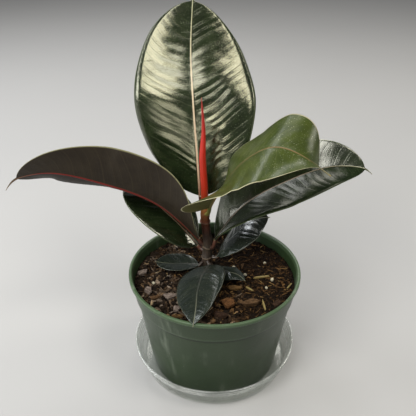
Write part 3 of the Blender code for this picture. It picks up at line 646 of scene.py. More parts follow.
def build_leaf(name, leaf, number, materials):
    """Petiole, midrib and blade as one fine closed mesh in place of the CAD leaf."""
    blade = Blade(leaf, number)
    vein = blade.side_veins()
    over, under, along, up, mid_width = blade.surfaces(vein)
    stalk_over, stalk_under, stalk_length = blade.petiole(along, up)
    over = np.concatenate([stalk_over, over])
    under = np.concatenate([stalk_under, under])
    rings = np.concatenate([over, under[:, -2:0:-1]], axis=1)
    total, ring = rings.shape[:2]
    count, columns = stalk_over.shape[:2]

    def spread(stalk_values, blade_values):
        """One value per point: the stalk's rows, then the blade's, on both faces."""
        rows = np.concatenate([np.broadcast_to(stalk_values, (count, columns)),
                               np.broadcast_to(blade_values, vein.shape)])
        return np.concatenate([rows, rows[:, -2:0:-1]], axis=1)

    def paired(first, second):
        return np.stack([first, second], -1).reshape(-1, 2)

    foot = np.linspace(0.0, 1.0, count)[:, None]
    aside = np.clip(blade.offset / mid_width, -4, 4)
    row, column = np.divmod(np.arange((total - 1) * ring), ring)
    which = np.where(row < count - 1, 2, np.where(column < columns - 1, 0, 1))
    which = np.concatenate([which, [2, 0]])
    maps = {
        "veins": paired(spread(vein[0].mean(), vein), spread(0.0, blade.a)),
        "rib": paired(spread(0.0, aside), spread(foot, blade.s)),
        "skin": paired(spread((foot - 1.0) * stalk_length, blade.flat) / 10.0,
                       spread(blade.across * 2.0, blade.offset) / 10.0 + 3.1 * number)}
    points = planted(rings.reshape(-1, 3))
    piece = add_mesh(name.replace("leaf", "blade"), points, tube_faces(total, ring), materials, which, maps)
    stands_for(piece, name)


for leaf_number, (leaf_name, shape) in enumerate(LEAVES.items()):
    if leaf_name == "leaf_young":
        build_leaf(leaf_name, shape, leaf_number, [YOUNG_TOP, YOUNG_UNDER, YOUNG_STALK])
    elif shape["half_width"] < 25:
        build_leaf(leaf_name, shape, leaf_number, [LOW_TOP, MATURE_UNDER, LOW_STALK])
    elif leaf_name in ("leaf_right", "leaf_lower_left"):
        build_leaf(leaf_name, shape, leaf_number, [SIDE_TOP, MATURE_UNDER, MATURE_STALK])
    else:
        build_leaf(leaf_name, shape, leaf_number, [MATURE_TOP, MATURE_UNDER, MATURE_STALK])


# ---- stem and sheath ---------------------------------------------------------------------------------
def bark_material():
    """Young bark: green-brown, finely cracked, pale at the leaf scars, redder toward the top."""
    g = Graph("stem_bark_fine")
    place = g.map("skin")
    colour = g.ramp(g.steps(g.split(place)[1], -1.0, 5.4), [
        (0.0, (0.022, 0.013, 0.008)), (0.25, (0.026, 0.017, 0.009)), (0.55, (0.030, 0.013, 0.007)),
        (0.68, (0.065, 0.016, 0.007)), (0.84, (0.130, 0.027, 0.009)), (1.0, (0.24, 0.085, 0.014))])
    streaks = g.noise(g.stretch(place, (5.0, 0.8, 1.0)), 2.6, 5.0, 0.6)
    colour = g.mix(g.steps(streaks, 0.45, 0.75, 0.0, 0.42), colour, (0.095, 0.055, 0.028))
    cracks = g.steps(g.noise(g.stretch(place, (6.0, 1.6, 1.0)), 5.0, 4.0, 0.7), 0.40, 0.30)
    colour = g.mix(g.times(cracks, 0.8), colour, (0.016, 0.010, 0.007))
    scar = g.split(g.map("scar"))[0]
    colour = g.mix(g.times(scar, 0.75), colour, (0.19, 0.13, 0.075))
    relief = g.plus(streaks, g.times(cracks, -0.8))
    return g.finish(Base_Color=colour, Roughness=0.58, Normal=g.bump(relief, 0.0005))


def sheath_material():
    """Waxy red leaf sheath with fine lengthwise lines."""
    g = Graph("sheath_red_fine")
    place = g.map("skin")
    colour = g.ramp(g.steps(g.split(place)[1], 5.0, 15.5), [
        (0.0, (0.24, 0.040, 0.010)), (0.12, (0.38, 0.022, 0.008)), (0.7, (0.42, 0.016, 0.009)),
        (1.0, (0.26, 0.012, 0.010))])
    lines = g.noise(g.stretch(place, (9.0, 0.35, 1.0)), 2.4, 3.0, 0.5)
    colour = g.mix(g.steps(lines, 0.48, 0.8, 0.0, 0.5), colour, (0.52, 0.060, 0.024))
    colour = g.mix(g.steps(lines, 0.42, 0.25, 0.0, 0.5), colour, (0.22, 0.008, 0.008))
    return g.finish(Base_Color=colour, Roughness=0.36, Normal=g.bump(lines, 0.0002))


def upright(name, node, profile, rows, sides, material, shape):
    """Fine upright body through a profile; shape(height, turn) gives the radius factor and a mask."""
    table = np.array(profile)
    height = np.linspace(table[0, 0], table[-1, 0], rows)
    soften = np.ones(9) / 9
    sideways, back, radius = (
        np.convolve(np.pad(np.interp(height, table[:, 0], table[:, k]), 4, mode="edge"), soften, mode="valid")
        for k in (1, 2, 3))
    turn = round_turns(sides)
    factor, mask = shape(height[:, None], turn[None, :])
    radius = radius[:, None] * STEM_RADIUS * factor
    points = np.stack([sideways[:, None] + radius * np.cos(turn), back[:, None] + radius * np.sin(turn),
                       np.broadcast_to(height[:, None], radius.shape)], -1)
    round_map = np.broadcast_to(np.abs(turn - math.pi)[None, :] * STEM_RADIUS / 10.0, radius.shape)
    rise_map = np.broadcast_to(height[:, None] / 10.0, radius.shape)
    piece = add_mesh(name, planted(points.reshape(-1, 3)), tube_faces(rows, sides), [material], maps={
        "skin": np.stack([round_map, rise_map], -1).reshape(-1, 2),
        "scar": np.stack([mask, mask], -1).reshape(-1, 2)})
    stands_for(piece, node)


def stem_shape(height, turn):
    """Rings at the nodes, long shallow ridges between them."""
    ridge = 1.0 + 0.018 * np.sin(7 * turn + 0.05 * height) + 0.012 * np.sin(13 * turn + 1.0)
    ridge = ridge + 0.02 * ripples(turn * 1.2, height / 6.0, 3)
    mask = np.zeros(np.broadcast(height, turn).shape)
    for node, lean, depth in ((1.0, 0.8, 0.05), (11.5, 1.0, 0.05), (37.6, 0.7, 0.10), (46.0, 0.5, 0.03)):
        level = height - node - lean * np.sin(turn + node)
        groove = np.exp(-((level - 1.1) / 0.6) ** 2)
        ridge = ridge + depth * np.exp(-(level / 0.5) ** 2) - 0.6 * depth * groove
        mask = np.maximum(mask, np.exp(-(level / 0.45) ** 2) * (0.9 if depth > 0.04 else 0.3))
    return ridge, mask


def sheath_shape(height, turn):
    """Rolled sheath: one edge laps over the other."""
    lap = np.mod(turn - 1.1 - 0.012 * height, 2 * math.pi)
    edge = 0.10 * np.exp(-lap / 0.35)
    flat = 1.0 - 0.10 * np.cos(turn) ** 2
    grooves = 0.012 * np.sin(9 * turn + 0.02 * height)
    return flat + edge + grooves, np.zeros(np.broadcast(height, turn).shape)


upright("stem_skin", "stem", STEM_PROFILE, 330, 72, bark_material(), stem_shape)
upright("sheath_skin", "leaf_sheath", SHEATH_PROFILE, 260, 48, sheath_material(), sheath_shape)


# ---- pot and saucer ----------------------------------------------------------------------------------
def revolve(profile, sides=160):
    """Points and faces of a closed (radius, height) profile turned about Z; radius 0 closes on the axis."""
    points, rows = [], []
    for radius, height in profile:
        if radius == 0.0:
            rows.append([len(points)] * sides)
            points.append((0.0, 0.0, height))
        else:
            rows.append(list(range(len(points), len(points) + sides)))
            points += [(radius * math.cos(t), radius * math.sin(t), height) for t in round_turns(sides)]
    faces = []
    for upper, lower in zip(rows, rows[1:] + rows[:1]):
        for i in range(sides):
            j = (i + 1) % sides
            face = list(dict.fromkeys([upper[i], lower[i], lower[j], upper[j]]))
            if len(face) > 2:
                faces.append(face)
    return points, faces


def rounded(profile, radius, steps=3):
    """The profile with its corners rounded, except on the axis."""
    result = []
    count = len(profile)
    for i, corner in enumerate(profile):
        before, after = np.array(profile[i - 1]), np.array(profile[(i + 1) % count])
        corner = np.array(corner, float)
        if corner[0] == 0.0:
            result.append((0.0, corner[1]))
            continue
        back, ahead = before - corner, after - corner
        cut = min(radius, 0.42 * np.linalg.norm(back), 0.42 * np.linalg.norm(ahead))
        p, q = corner + unit(back) * cut, corner + unit(ahead) * cut
        for k in range(steps + 1):
            t = k / steps
            result.append(tuple((1 - t) ** 2 * p + 2 * (1 - t) * t * corner + t ** 2 * q))
    return result


def pot_material():
    """Moulded green nursery plastic: satin, streaked with scuffs and dried splashes, with a painted paler
    sheen on the lip, a painted shadow under the collar's step and a painted highlight line along the collar's
    foot.
    """
    g = Graph("pot_green_scuffed")
    place = g.place()
    height = g.times(g.split(place)[2], 1.0 / MM)
    tone = g.steps(g.noise(place, 22.0, 4.0), 0.3, 0.7)
    colour = g.mix(tone, (0.0150, 0.0300, 0.0105), (0.0230, 0.0410, 0.0165))
    # Painted sheen: the lip is coloured paler, as if it catches more light.
    colour = g.mix(g.steps(height, LIP_FOOT_Z - 1.0, LIP_FOOT_Z + 0.3), colour, (0.050, 0.082, 0.040))
    # Painted shadow: a dark band under the overhang of the collar's step.
    shadow = g.band(height, COLLAR_FOOT_Z - 2.4, 1.2, 0.4)
    colour = g.mix(g.times(shadow, 0.7), colour, (0.006, 0.011, 0.005))
    # Painted highlight: a pale line along the collar's lower edge, just above its step (the name ridge is
    # shared with the stem's real ridges).
    ridge = g.band(height, COLLAR_FOOT_Z + 1.3, 1.0, 0.3)
    colour = g.mix(g.times(ridge, 0.35), colour, (0.075, 0.110, 0.065))
    drips = g.noise(g.stretch(place, (1.0, 1.0, 0.10)), 130.0, 4.0, 0.6)
    patches = g.steps(g.noise(place, 30.0, 3.0), 0.46, 0.66)
    scuffs = g.times(g.steps(drips, 0.50, 0.74), patches)
    colour = g.mix(g.times(scuffs, 0.50), colour, (0.21, 0.24, 0.19))
    flecks = g.steps(g.noise(place, 520.0, 2.0), 0.735, 0.78)
    colour = g.mix(g.times(flecks, 0.6), colour, (0.30, 0.32, 0.26))
    rough = g.plus(0.30, g.times(scuffs, 0.25))
    rough = g.plus(rough, g.times(g.noise(place, 70.0, 3.0), 0.12))
    relief = g.plus(g.noise(place, 900.0, 2.0), g.times(g.noise(place, 60.0, 2.0), 3.0))
    return g.finish(Base_Color=colour, Roughness=rough, Specular_IOR_Level=0.36,
                    Normal=g.bump(relief, 0.00008))


def clear_material():
    """Thin clear plastic: see-through face on, scratched, with a painted white sheen that grows toward
    grazing angles and patchy painted highlight lines along the rim, the beads, the step and the foot.
    """
    g = Graph("saucer_clear_thin")
    place = g.place()
    x, y, z = g.split(place)
    height = g.times(z, 1.0 / MM)
    reach = g.times(g.math("SQRT", g.plus(g.times(x, x), g.times(y, y))), 1.0 / MM)
    # Painted highlights: masks for pale lines along the rim, the wall's beads, the step and the foot, where
    # the clear plastic catches the light.
    rim = g.steps(height, SAUCER_HEIGHT - 0.9, SAUCER_HEIGHT - 0.4)
    beads = g.most(*(g.band(height, SAUCER_HEIGHT - bead + 0.6, 0.7, 0.3) for bead in SAUCER_BEADS))
    step = g.band(height, SAUCER_STEP_Z, 0.8, 0.3)
    foot = g.times(g.steps(height, 1.9, 1.3), g.band(reach, SAUCER_FOOT_RADIUS - 0.5, 1.2, 0.5))
    lines = g.most(g.times(rim, 0.24), g.times(beads, 0.26), g.times(step, 0.55), g.times(foot, 0.60))
    # Patchy noise breaks up the painted highlight lines.
    patchy = g.steps(g.noise(place, 55.0, 3.0), 0.30, 0.62, 0.35, 1.0)
    scratches = g.steps(g.noise(g.stretch(place, (1.0, 1.0, 5.0)), 150.0, 5.0, 0.65), 0.56, 0.80)
    # Painted sheen: white cloudiness that grows toward grazing angles stands in for the plastic's bright
    # edges; the scratches are real.
    grazing = g.node("ShaderNodeLayerWeight").outputs["Facing"]
    share_of_haze_and_painted_sheen = g.plus(g.times(scratches, 0.18), g.times(g.power(grazing, 4.0), 0.16))
    share_of_haze_and_painted_sheen = g.plus(g.most(share_of_haze_and_painted_sheen, g.times(lines, patchy)), 0.015)

    material = g.finish(Base_Color=(0.80, 0.81, 0.80), Roughness=0.30)
    clear = g.node("ShaderNodeBsdfTransparent")
    g.fill(clear, Color=(0.845, 0.86, 0.84))
    gloss = g.node("ShaderNodeBsdfGlossy")
    g.fill(gloss, Color=(1.0, 1.0, 1.0), Roughness=0.24, Normal=g.bump(g.noise(place, 40.0, 3.0), 0.0010))
    clear_with_haze_and_painted_sheen = g.blend(share_of_haze_and_painted_sheen, clear.outputs[0], g.shader.outputs[0])
    shine = g.plus(g.times(g.power(grazing, 3.0), 0.32), 0.03)
    output = next(node for node in g.tree.nodes if node.type == "OUTPUT_MATERIAL")
    g.fill(output, Surface=g.blend(shine, clear_with_haze_and_painted_sheen, gloss.outputs[0]))
    return material


def build_pot():
    """Fine pot in place of the CAD pot, with the same drain holes."""
    r, z, inside = POT_RIM_RADIUS, RIM_Z, POT_BOTTOM_Z + POT_FLOOR
    profile = rounded([
        (r - 1.2, z), (r - 0.2, z - 0.3), (r, z - 1.3), (r, LIP_FOOT_Z + 0.8), (r - 0.5, LIP_FOOT_Z),
        (COLLAR_TOP_RADIUS, LIP_FOOT_Z - 0.3), (COLLAR_FOOT_RADIUS, COLLAR_FOOT_Z),
        (BODY_TOP_RADIUS, COLLAR_FOOT_Z - 1.2), (POT_BASE_RADIUS, POT_BOTTOM_Z + 1.2),
        (POT_BASE_RADIUS - 1.2, POT_BOTTOM_Z), (0.0, POT_BOTTOM_Z), (0.0, inside),
        (POT_BASE_RADIUS - POT_WALL, inside), (BODY_TOP_RADIUS - POT_WALL, COLLAR_FOOT_Z - 1.2),
        (COLLAR_FOOT_RADIUS - POT_WALL, COLLAR_FOOT_Z), (COLLAR_TOP_RADIUS - POT_WALL, z - 0.9),
        (COLLAR_TOP_RADIUS - POT_WALL + 0.6, z)], 0.8)
    pot = add_mesh("pot_shell", *revolve(profile), [pot_material()])
    reach = 0.78 * POT_BASE_RADIUS
    sides = 32
    points, faces = [], []
    for number in range(DRAIN_HOLES):
        place = 2 * math.pi * (number + 0.5) / DRAIN_HOLES
        faces += [[i + len(points) for i in face] for face in tube_faces(2, sides)]
        points += [(reach * math.cos(place) + DRAIN_HOLE_RADIUS * math.cos(turn),
                    reach * math.sin(place) + DRAIN_HOLE_RADIUS * math.sin(turn), level)
                   for level in (POT_BOTTOM_Z - 2.0, inside + 2.0) for turn in round_turns(sides)]
    cutter = add_mesh("drain_cutter", points, faces, [])
    cut = pot.modifiers.new("drain_holes", "BOOLEAN")
    cut.operation = "DIFFERENCE"
    cut.solver = "EXACT"
    cut.object = cutter
    graph = bpy.context.evaluated_depsgraph_get()
    done = bpy.data.meshes.new_from_object(pot.evaluated_get(graph), depsgraph=graph)
    pot.modifiers.clear()
    pot.data = done
    bpy.data.objects.remove(cutter, do_unlink=True)
    stands_for(pot, "pot")


def build_saucer():
    """Fine saucer in place of the CAD saucer, with raised rings on its floor and beads round its wall."""
    foot, rim, tall, floor = SAUCER_FOOT_RADIUS, SAUCER_RIM_RADIUS, SAUCER_HEIGHT, SAUCER_FLOOR
    step_z = SAUCER_STEP_Z
    step_r = foot + 0.42 * (rim - foot)
    lip = rim - 1.4
    profile = [(rim - 0.5, tall), (rim, tall - 0.6), (rim - 0.2, tall - 1.6), (lip, tall - 2.0)]
    for bead in SAUCER_BEADS:
        level = tall - bead
        wall = np.interp(level, [step_z + 0.6, tall - 2.0], [step_r + 1.2, lip])
        profile += [(wall, level + 0.9), (wall + 0.9, level + 0.5), (wall + 0.8, level - 0.3),
                    (wall, level - 0.7)]
    profile += [(step_r + 1.2, step_z + 0.6), (step_r, step_z - 0.4), (foot + 0.6, 1.4), (foot - 0.8, 0.0),
                (0.0, 0.0), (0.0, floor)]
    for ring in (28.0, 40.0, 52.0):
        profile += [(ring - 1.4, floor), (ring - 0.6, floor + 0.25), (ring + 0.6, floor + 0.25),
                    (ring + 1.4, floor)]
    profile += [(foot - 1.6, floor), (foot - 0.4, floor + 1.4), (step_r - 1.0, step_z - 0.2),
                (step_r + 0.2, step_z + 0.8), (lip - 1.0, tall - 1.6), (lip - 0.3, tall)]
    saucer = add_mesh("saucer_shell", *revolve(rounded(profile, 0.7)), [clear_material()])
    stands_for(saucer, "saucer")


build_pot()
build_saucer()


# ---- potting mix -------------------------------------------------------------------------------------
def inner_radius(height):
    """Inside radius of the pot at a height."""
    heights = [POT_BOTTOM_Z + POT_FLOOR, COLLAR_FOOT_Z - 1.2, COLLAR_FOOT_Z, RIM_Z - 0.9]
    outer = np.array([POT_BASE_RADIUS, BODY_TOP_RADIUS, COLLAR_FOOT_RADIUS, COLLAR_TOP_RADIUS])
    return np.interp(height, heights, outer - POT_WALL)


def mix_height(x, y):
    """Top of the mix, in millimetres: the CAD's gentle bumps."""
    fade = np.minimum(1.0, 8.0 * (1.0 - np.hypot(x, y) / inner_radius(SOIL_Z)))
    wave = (np.sin(0.21 * x + 1.0) * np.sin(0.17 * y) + np.sin(0.11 * x - 0.14 * y)
            + 0.6 * np.sin(0.33 * y + 0.09 * x))
    return SOIL_Z + 0.4 * fade * wave


def tinted(piece, tints):
    """Store tone, dirt and greyness for each point, for the shader to read."""
    layer = piece.data.color_attributes.new("tint", "FLOAT_COLOR", "POINT")
    values = np.ones((len(tints), 4), np.float32)
    values[:, :3] = tints
    layer.data.foreach_set("color", values.ravel())


def mix_material():
    """Loose organic matter: the tint gives tone, dirt and how grey it is, and fine grain breaks it up."""
    g = Graph("mix_crumbs")
    place = g.place()
    tone, dirt, grey = g.split(g.node("ShaderNodeAttribute", attribute_name="tint").outputs["Vector"])
    warm = g.ramp(tone, [
        (0.0, (0.003, 0.0018, 0.0008)), (0.30, (0.021, 0.0100, 0.0035)), (0.52, (0.085, 0.042, 0.014)),
        (0.74, (0.220, 0.118, 0.042)), (0.90, (0.380, 0.240, 0.090)), (1.0, (0.56, 0.40, 0.17))])
    cool = g.ramp(tone, [
        (0.0, (0.004, 0.0028, 0.0018)), (0.30, (0.030, 0.020, 0.013)), (0.52, (0.120, 0.088, 0.062)),
        (0.74, (0.270, 0.215, 0.168)), (0.90, (0.400, 0.340, 0.285)), (1.0, (0.52, 0.45, 0.38))])
    colour = g.mix(grey, warm, cool)
    broken = g.steps(g.noise(place, 900.0, 5.0, 0.65), 0.35, 0.65)
    colour = g.mix(broken, g.mix(0.55, colour, (0.010, 0.006, 0.004)), colour)
    bright = g.steps(g.noise(place, 1530.0, 3.0), 0.62, 0.75, 0.0, 0.3)
    colour = g.mix(bright, colour, (0.23, 0.13, 0.07))
    colour = g.mix(g.times(dirt, 0.5), colour, (0.004, 0.003, 0.002))
    relief = g.noise(place, 1800.0, 4.0, 0.7)
    return g.finish(Base_Color=colour, Roughness=0.86, Specular_IOR_Level=0.12, Normal=g.bump(relief, 0.0007))


MIX = mix_material()


def build_mix_body():
    """The body of the mix: fine uneven top, sides and bottom, with a pocket for the stem."""
    turn = round_turns(240)
    rings = []
    for height in (POT_BOTTOM_Z + POT_FLOOR + GAP, COLLAR_FOOT_Z - 1.5, COLLAR_FOOT_Z - 0.3):
        radius = inner_radius(height) - GAP
        rings.append(np.stack([radius * np.cos(turn), radius * np.sin(turn), np.full(len(turn), height)], -1))
    for share in np.linspace(0.0, 1.0, 70):
        radius = (inner_radius(SOIL_Z) - GAP) * (1.0 - share) + (STEM_RADIUS - 0.4) * share
        x = STEM_X * share + radius * np.cos(turn)
        y = STEM_Y * share + radius * np.sin(turn)
        z = mix_height(x, y) - 1.3 + 0.7 * ripples(x / 7.0, y / 7.0, 5) + 0.5 * ripples(x / 2.6, y / 2.6, 6)
        rings.append(np.stack([x, y, z], -1))
    rings.append(np.stack([x, y, np.full(len(turn), SOIL_Z - 8.0)], -1))
    points = np.concatenate(rings)
    body = add_mesh("mix_body", points, tube_faces(len(rings), len(turn)), [MIX])
    dice = np.random.RandomState(3)
    tints = np.zeros((len(points), 3))
    # The body is tinted near black: the dark peat's own colour, deepened into painted shade for the gaps
    # between the crumbs.
    tints[:, 0] = 0.02 + 0.10 * dice.rand(len(points))
    tints[:, 2] = 0.2
    tinted(body, tints)
    stands_for(body, "soil")


def spin_about(axis, angle, vectors):
    """Rodrigues turn of many vectors, each about its own axis."""
    c, s = np.cos(angle)[:, None, None], np.sin(angle)[:, None, None]
    k = axis[:, None, :]
    along = k * (vectors * k).sum(-1, keepdims=True) * (1 - c)
    return vectors * c + np.cross(np.broadcast_to(k, vectors.shape), vectors) * s + along


def about_z(points, angle):
    """Points turned about Z."""
    c, s = np.cos(angle), np.sin(angle)
    x, y, z = points[..., 0], points[..., 1], points[..., 2]
    return np.stack([x * c - y * s, x * s + y * c, z], -1)


def squared(turn, power):
    """Round outline pulled toward a rectangle, at the angles given."""
    return [np.sign(way) * np.abs(way) ** power for way in (np.cos(turn), np.sin(turn))]


def plates(dice, centres, length, width, height, heading, tilt, sides):
    """Many uneven flat chips at once: a wobbly outline below and a smaller one above."""
    count = len(centres)
    turn = round_turns(sides)[None, :] + dice.uniform(-0.3, 0.3, (count, sides))
    ragged = dice.uniform(0.72, 1.08, (count, sides))
    length, width, height = length[:, None], width[:, None], height[:, None]
    x, y = squared(turn, 0.75)
    x, y = x * ragged * 0.5 * length, y * ragged * 0.5 * width
    bow = dice.uniform(-0.25, 0.25, (count, 1)) * height * (2 * x / length) ** 2
    low = np.stack([x, y, bow - 0.5 * height * dice.uniform(0.6, 1.0, (count, sides))], -1)
    shrink = dice.uniform(0.70, 0.96, (count, sides))
    rise = bow + 0.5 * height * dice.uniform(0.5, 1.0, (count, sides))
    high = np.stack([x * shrink, y * shrink, rise], -1)
    peak = np.zeros((count, 1, 3))
    peak[:, 0, 2] = 0.5 * height[:, 0] * dice.uniform(0.8, 1.3, count)
    points = about_z(np.concatenate([low, high, peak], axis=1), heading[:, None])
    lean = dice.uniform(0.0, 2 * math.pi, count)
    axis = np.stack([np.cos(lean), np.sin(lean), np.zeros(count)], -1)
    points = spin_about(axis, tilt, points) + centres[:, None, :]
    each = [list(range(sides))[::-1]]
    each += [[i, (i + 1) % sides, sides + (i + 1) % sides, sides + i] for i in range(sides)]
    each += [[sides + i, sides + (i + 1) % sides, 2 * sides] for i in range(sides)]
    size = 2 * sides + 1
    faces = [[n * size + v for v in face] for n in range(count) for face in each]
    return points.reshape(-1, 3), faces, size


# Loose bits, as in the CAD source: sideways, back, length, width, height in millimetres, turn in degrees,
# then the tone of the bark.
BARK_CHIPS = [
    (-66, 5, 10, 7, 2.6, 25, "grey"), (-59, -21, 9, 8, 3.0, -15, "grey"),
    (-52, -31, 8, 4.5, 2.4, 10, "brown"), (-39, -29, 8.5, 6.5, 2.8, 30, "grey"),
    (-33, -46.5, 6.5, 6, 3.0, 5, "grey"), (-32, -54.5, 11, 3.2, 2.0, -12, "tan"),
    (11.5, -41, 11, 10, 4.2, 40, "red"), (5, -54.5, 12, 8, 3.0, -10, "dark"),
    (18, -17.5, 12, 5.5, 2.2, -12, "tan"), (30, -38.5, 14, 8, 3.4, 12, "brown"),
    (53.5, -39, 9, 6, 2.6, 35, "dark"), (26, 14, 8, 2.6, 2.2, 84, "brown"),
]
WOOD_FIBRES = [
    (31, -18.5, 7.5, 1.6, 1.0, -44), (42, -40.5, 12, 1.5, 1.0, -83), (67, -13.5, 9, 1.4, 0.9, 58),
    (43, -1.5, 15, 1.7, 1.4, 14),
]
PERLITE_GRAINS = [
    (-55, -10, 3.4, 2.2, 1.8, -40), (18, 14.5, 3.0, 2.0, 1.6, 15), (28, 2, 3.0, 2.2, 1.8, 0),
    (52, -6, 3.0, 2.8, 2.2, 70), (47.5, 20, 2.4, 2.2, 1.8, 30), (46, -17, 2.6, 2.0, 1.6, 120),
]


def scattered(dice, count, margin):
    """Places spread evenly over the mix, clear of the stem and the loose bits."""
    radius = (MIX_RADIUS - margin) * np.sqrt(dice.rand(count))
    turn = dice.rand(count) * 2 * math.pi
    x, y = radius * np.cos(turn), radius * np.sin(turn)
    keep = np.hypot(x - STEM_X, y - STEM_Y) > STEM_RADIUS + 0.8
    for bit in BARK_CHIPS + WOOD_FIBRES + PERLITE_GRAINS:
        across, away, angle = x - bit[0], y - bit[1], math.radians(bit[5])
        along = across * math.cos(angle) + away * math.sin(angle)
        aside = away * math.cos(angle) - across * math.sin(angle)
        keep &= np.hypot(along / (0.5 * bit[2] + 0.4), aside / (0.5 * bit[3] + 0.4)) > 1.0
    return x[keep], y[keep]


def chunky(x, y):
    """How coarse the mix is at a place: bark on the left and in front, peat at the back right."""
    return np.clip(0.42 - x / 75.0 - y / 160.0 + 0.25 * ripples(x / 35.0, y / 35.0, 9), 0.0, 1.0)


def crumb_shapes(kind, dice, coarse):
    """Length, width, height, heading, tilt, lift and tone of each crumb of a kind."""
    n = len(coarse)
    heading = dice.uniform(0, math.pi, n)
    if kind == "crumb":
        length = dice.uniform(0.8, 2.3, n) * (0.8 + 0.5 * coarse)
        width = length * dice.uniform(0.45, 0.95, n)
        height = length * dice.uniform(0.35, 0.75, n)
        tilt, lift = dice.uniform(0.0, 1.2, n), dice.uniform(-0.9, 0.3, n)
        tone = dice.beta(1.3, 3.4, n) * (0.74 + 0.20 * coarse)
    elif kind == "flake":
        length = dice.uniform(2.4, 6.8, n) * (0.55 + 0.70 * coarse)
        width = length * dice.uniform(0.28, 0.70, n)
        height = dice.uniform(0.4, 1.2, n)
        tilt, lift = dice.uniform(0.0, 0.75, n), dice.uniform(-0.5, 1.2, n)
        tone = np.clip(dice.beta(0.9, 1.9, n) * (0.72 + 0.26 * coarse) + 0.02, 0, 1)
    else:
        length = dice.uniform(3.5, 10.5, n)
        width = dice.uniform(0.35, 1.0, n)
        height = width * dice.uniform(0.5, 0.9, n)
        tilt, lift = dice.uniform(0.0, 0.35, n), dice.uniform(-0.1, 1.2, n)
        heading = dice.normal(0.25, 0.8, n)
        tone = dice.beta(1.1, 1.7, n)
    return length, width, height, heading, tilt, lift, tone


def build_crumbs():
    """Thousands of loose crumbs, flakes and shreds lying on the body of the mix."""
    dice = np.random.RandomState(21)
    points, faces, tints = np.zeros((0, 3)), [], []
    kinds = [("crumb", 4200, 0.8, 5), ("flake", 2300, 2.5, 6), ("shred", 1100, 4.0, 6)]
    for kind, count, margin, sides in kinds:
        x, y = scattered(dice, count, margin)
        coarse = chunky(x, y)
        length, width, height, heading, tilt, lift, tone = crumb_shapes(kind, dice, coarse)
        centres = np.stack([x, y, mix_height(x, y) + lift], -1)
        batch, batch_faces, size = plates(dice, centres, length, width, height, heading, tilt, sides)
        grey = np.clip(1.2 * coarse - 0.65 + dice.uniform(-0.45, 0.45, len(x)), 0.0, 1.0)
        dirt = 0.5 * dice.rand(len(x))
        faces += [[v + len(points) for v in face] for face in batch_faces]
        points = np.concatenate([points, batch])
        tints.append(np.repeat(np.stack([tone, dirt, grey], -1), size, axis=0))
    wall = inner_radius(SOIL_Z) - 0.2
    points[:, :2] /= np.maximum(np.hypot(points[:, 0], points[:, 1]) / wall, 1.0)[:, None]
    crumbs = add_mesh("mix_crumbs", points, faces, [MIX], smooth=False)
    tinted(crumbs, np.concatenate(tints))
    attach(crumbs, "root")


# Dark, middle and pale colour of each tone of bark.
BARK_TONES = {
    "grey": ((0.034, 0.023, 0.017), (0.180, 0.138, 0.114), (0.360, 0.300, 0.255)),
    "brown": ((0.014, 0.008, 0.004), (0.080, 0.042, 0.018), (0.190, 0.115, 0.056)),
    "dark": ((0.009, 0.005, 0.003), (0.036, 0.018, 0.010), (0.090, 0.050, 0.028)),
    "red": ((0.020, 0.009, 0.003), (0.110, 0.047, 0.016), (0.220, 0.108, 0.042)),
    "tan": ((0.030, 0.014, 0.004), (0.120, 0.065, 0.022), (0.240, 0.150, 0.062)),
}


def bark_chip_material(tone):
    """Layered bark: streaks along the chip, darker cracks, pale worn ridges."""
    dark, middle, pale = BARK_TONES[tone]
    g = Graph("bark_" + tone)
    skin = g.map("skin")
    streaks = g.noise(g.stretch(skin, (0.45, 2.6, 1.0)), 4.5, 5.0, 0.62, 0.6)
    colour = g.ramp(streaks, [(0.28, dark), (0.50, middle), (0.74, pale)])
    pits = g.steps(g.noise(g.stretch(skin, (0.6, 1.6, 1.0)), 9.0, 4.0, 0.65), 0.46, 0.36)
    colour = g.mix(g.times(pits, 0.75), colour, (0.012, 0.007, 0.005))
    relief = g.plus(streaks, g.times(g.noise(skin, 16.0, 4.0, 0.7), 0.6))
    return g.finish(Base_Color=colour, Roughness=0.83, Specular_IOR_Level=0.15, Normal=g.bump(relief, 0.0014))


def fibre_material():
    """Straw-coloured wood fibre with fine grain along it."""
    g = Graph("fibre_straw")
    grain = g.noise(g.stretch(g.map("skin"), (0.25, 6.0, 1.0)), 6.0, 4.0, 0.6)
    colour = g.ramp(grain, [
        (0.25, (0.080, 0.050, 0.014)), (0.55, (0.200, 0.150, 0.045)), (0.8, (0.310, 0.250, 0.110))])
    return g.finish(Base_Color=colour, Roughness=0.62, Normal=g.bump(grain, 0.0003))


def perlite_material():
    """White porous perlite, a little stained."""
    g = Graph("perlite_white")
    pores = g.noise(g.place(), 2400.0, 4.0, 0.7)
    colour = g.ramp(pores, [
        (0.30, (0.16, 0.13, 0.08)), (0.48, (0.42, 0.38, 0.27)), (0.7, (0.62, 0.58, 0.45))])
    return g.finish(Base_Color=colour, Roughness=0.85, Normal=g.bump(pores, 0.0006))


def chip_outline(dice, length, width, corners, ragged, roundness):
    """Broken outline with so many corners, and points along its straight sides."""
    spread = (np.arange(corners) + dice.uniform(-0.32, 0.32, corners)) * 2 * math.pi / corners
    far = dice.uniform(1.0 - ragged, 1.0 + 0.4 * ragged, corners)
    tips = np.stack(squared(spread, 0.60 + 0.40 * roundness), -1) * far[:, None]
    share = np.linspace(0.0, 1.0, 5, endpoint=False)[:, None]
    ends = zip(tips, np.roll(tips, -1, axis=0))
    outline = np.concatenate([tip * (1 - share) + after * share for tip, after in ends])
    outline = outline * (1.0 + 0.10 * ragged * dice.uniform(-1, 1, (len(outline), 1)))
    return outline * np.array([0.60 * length, 0.60 * width])


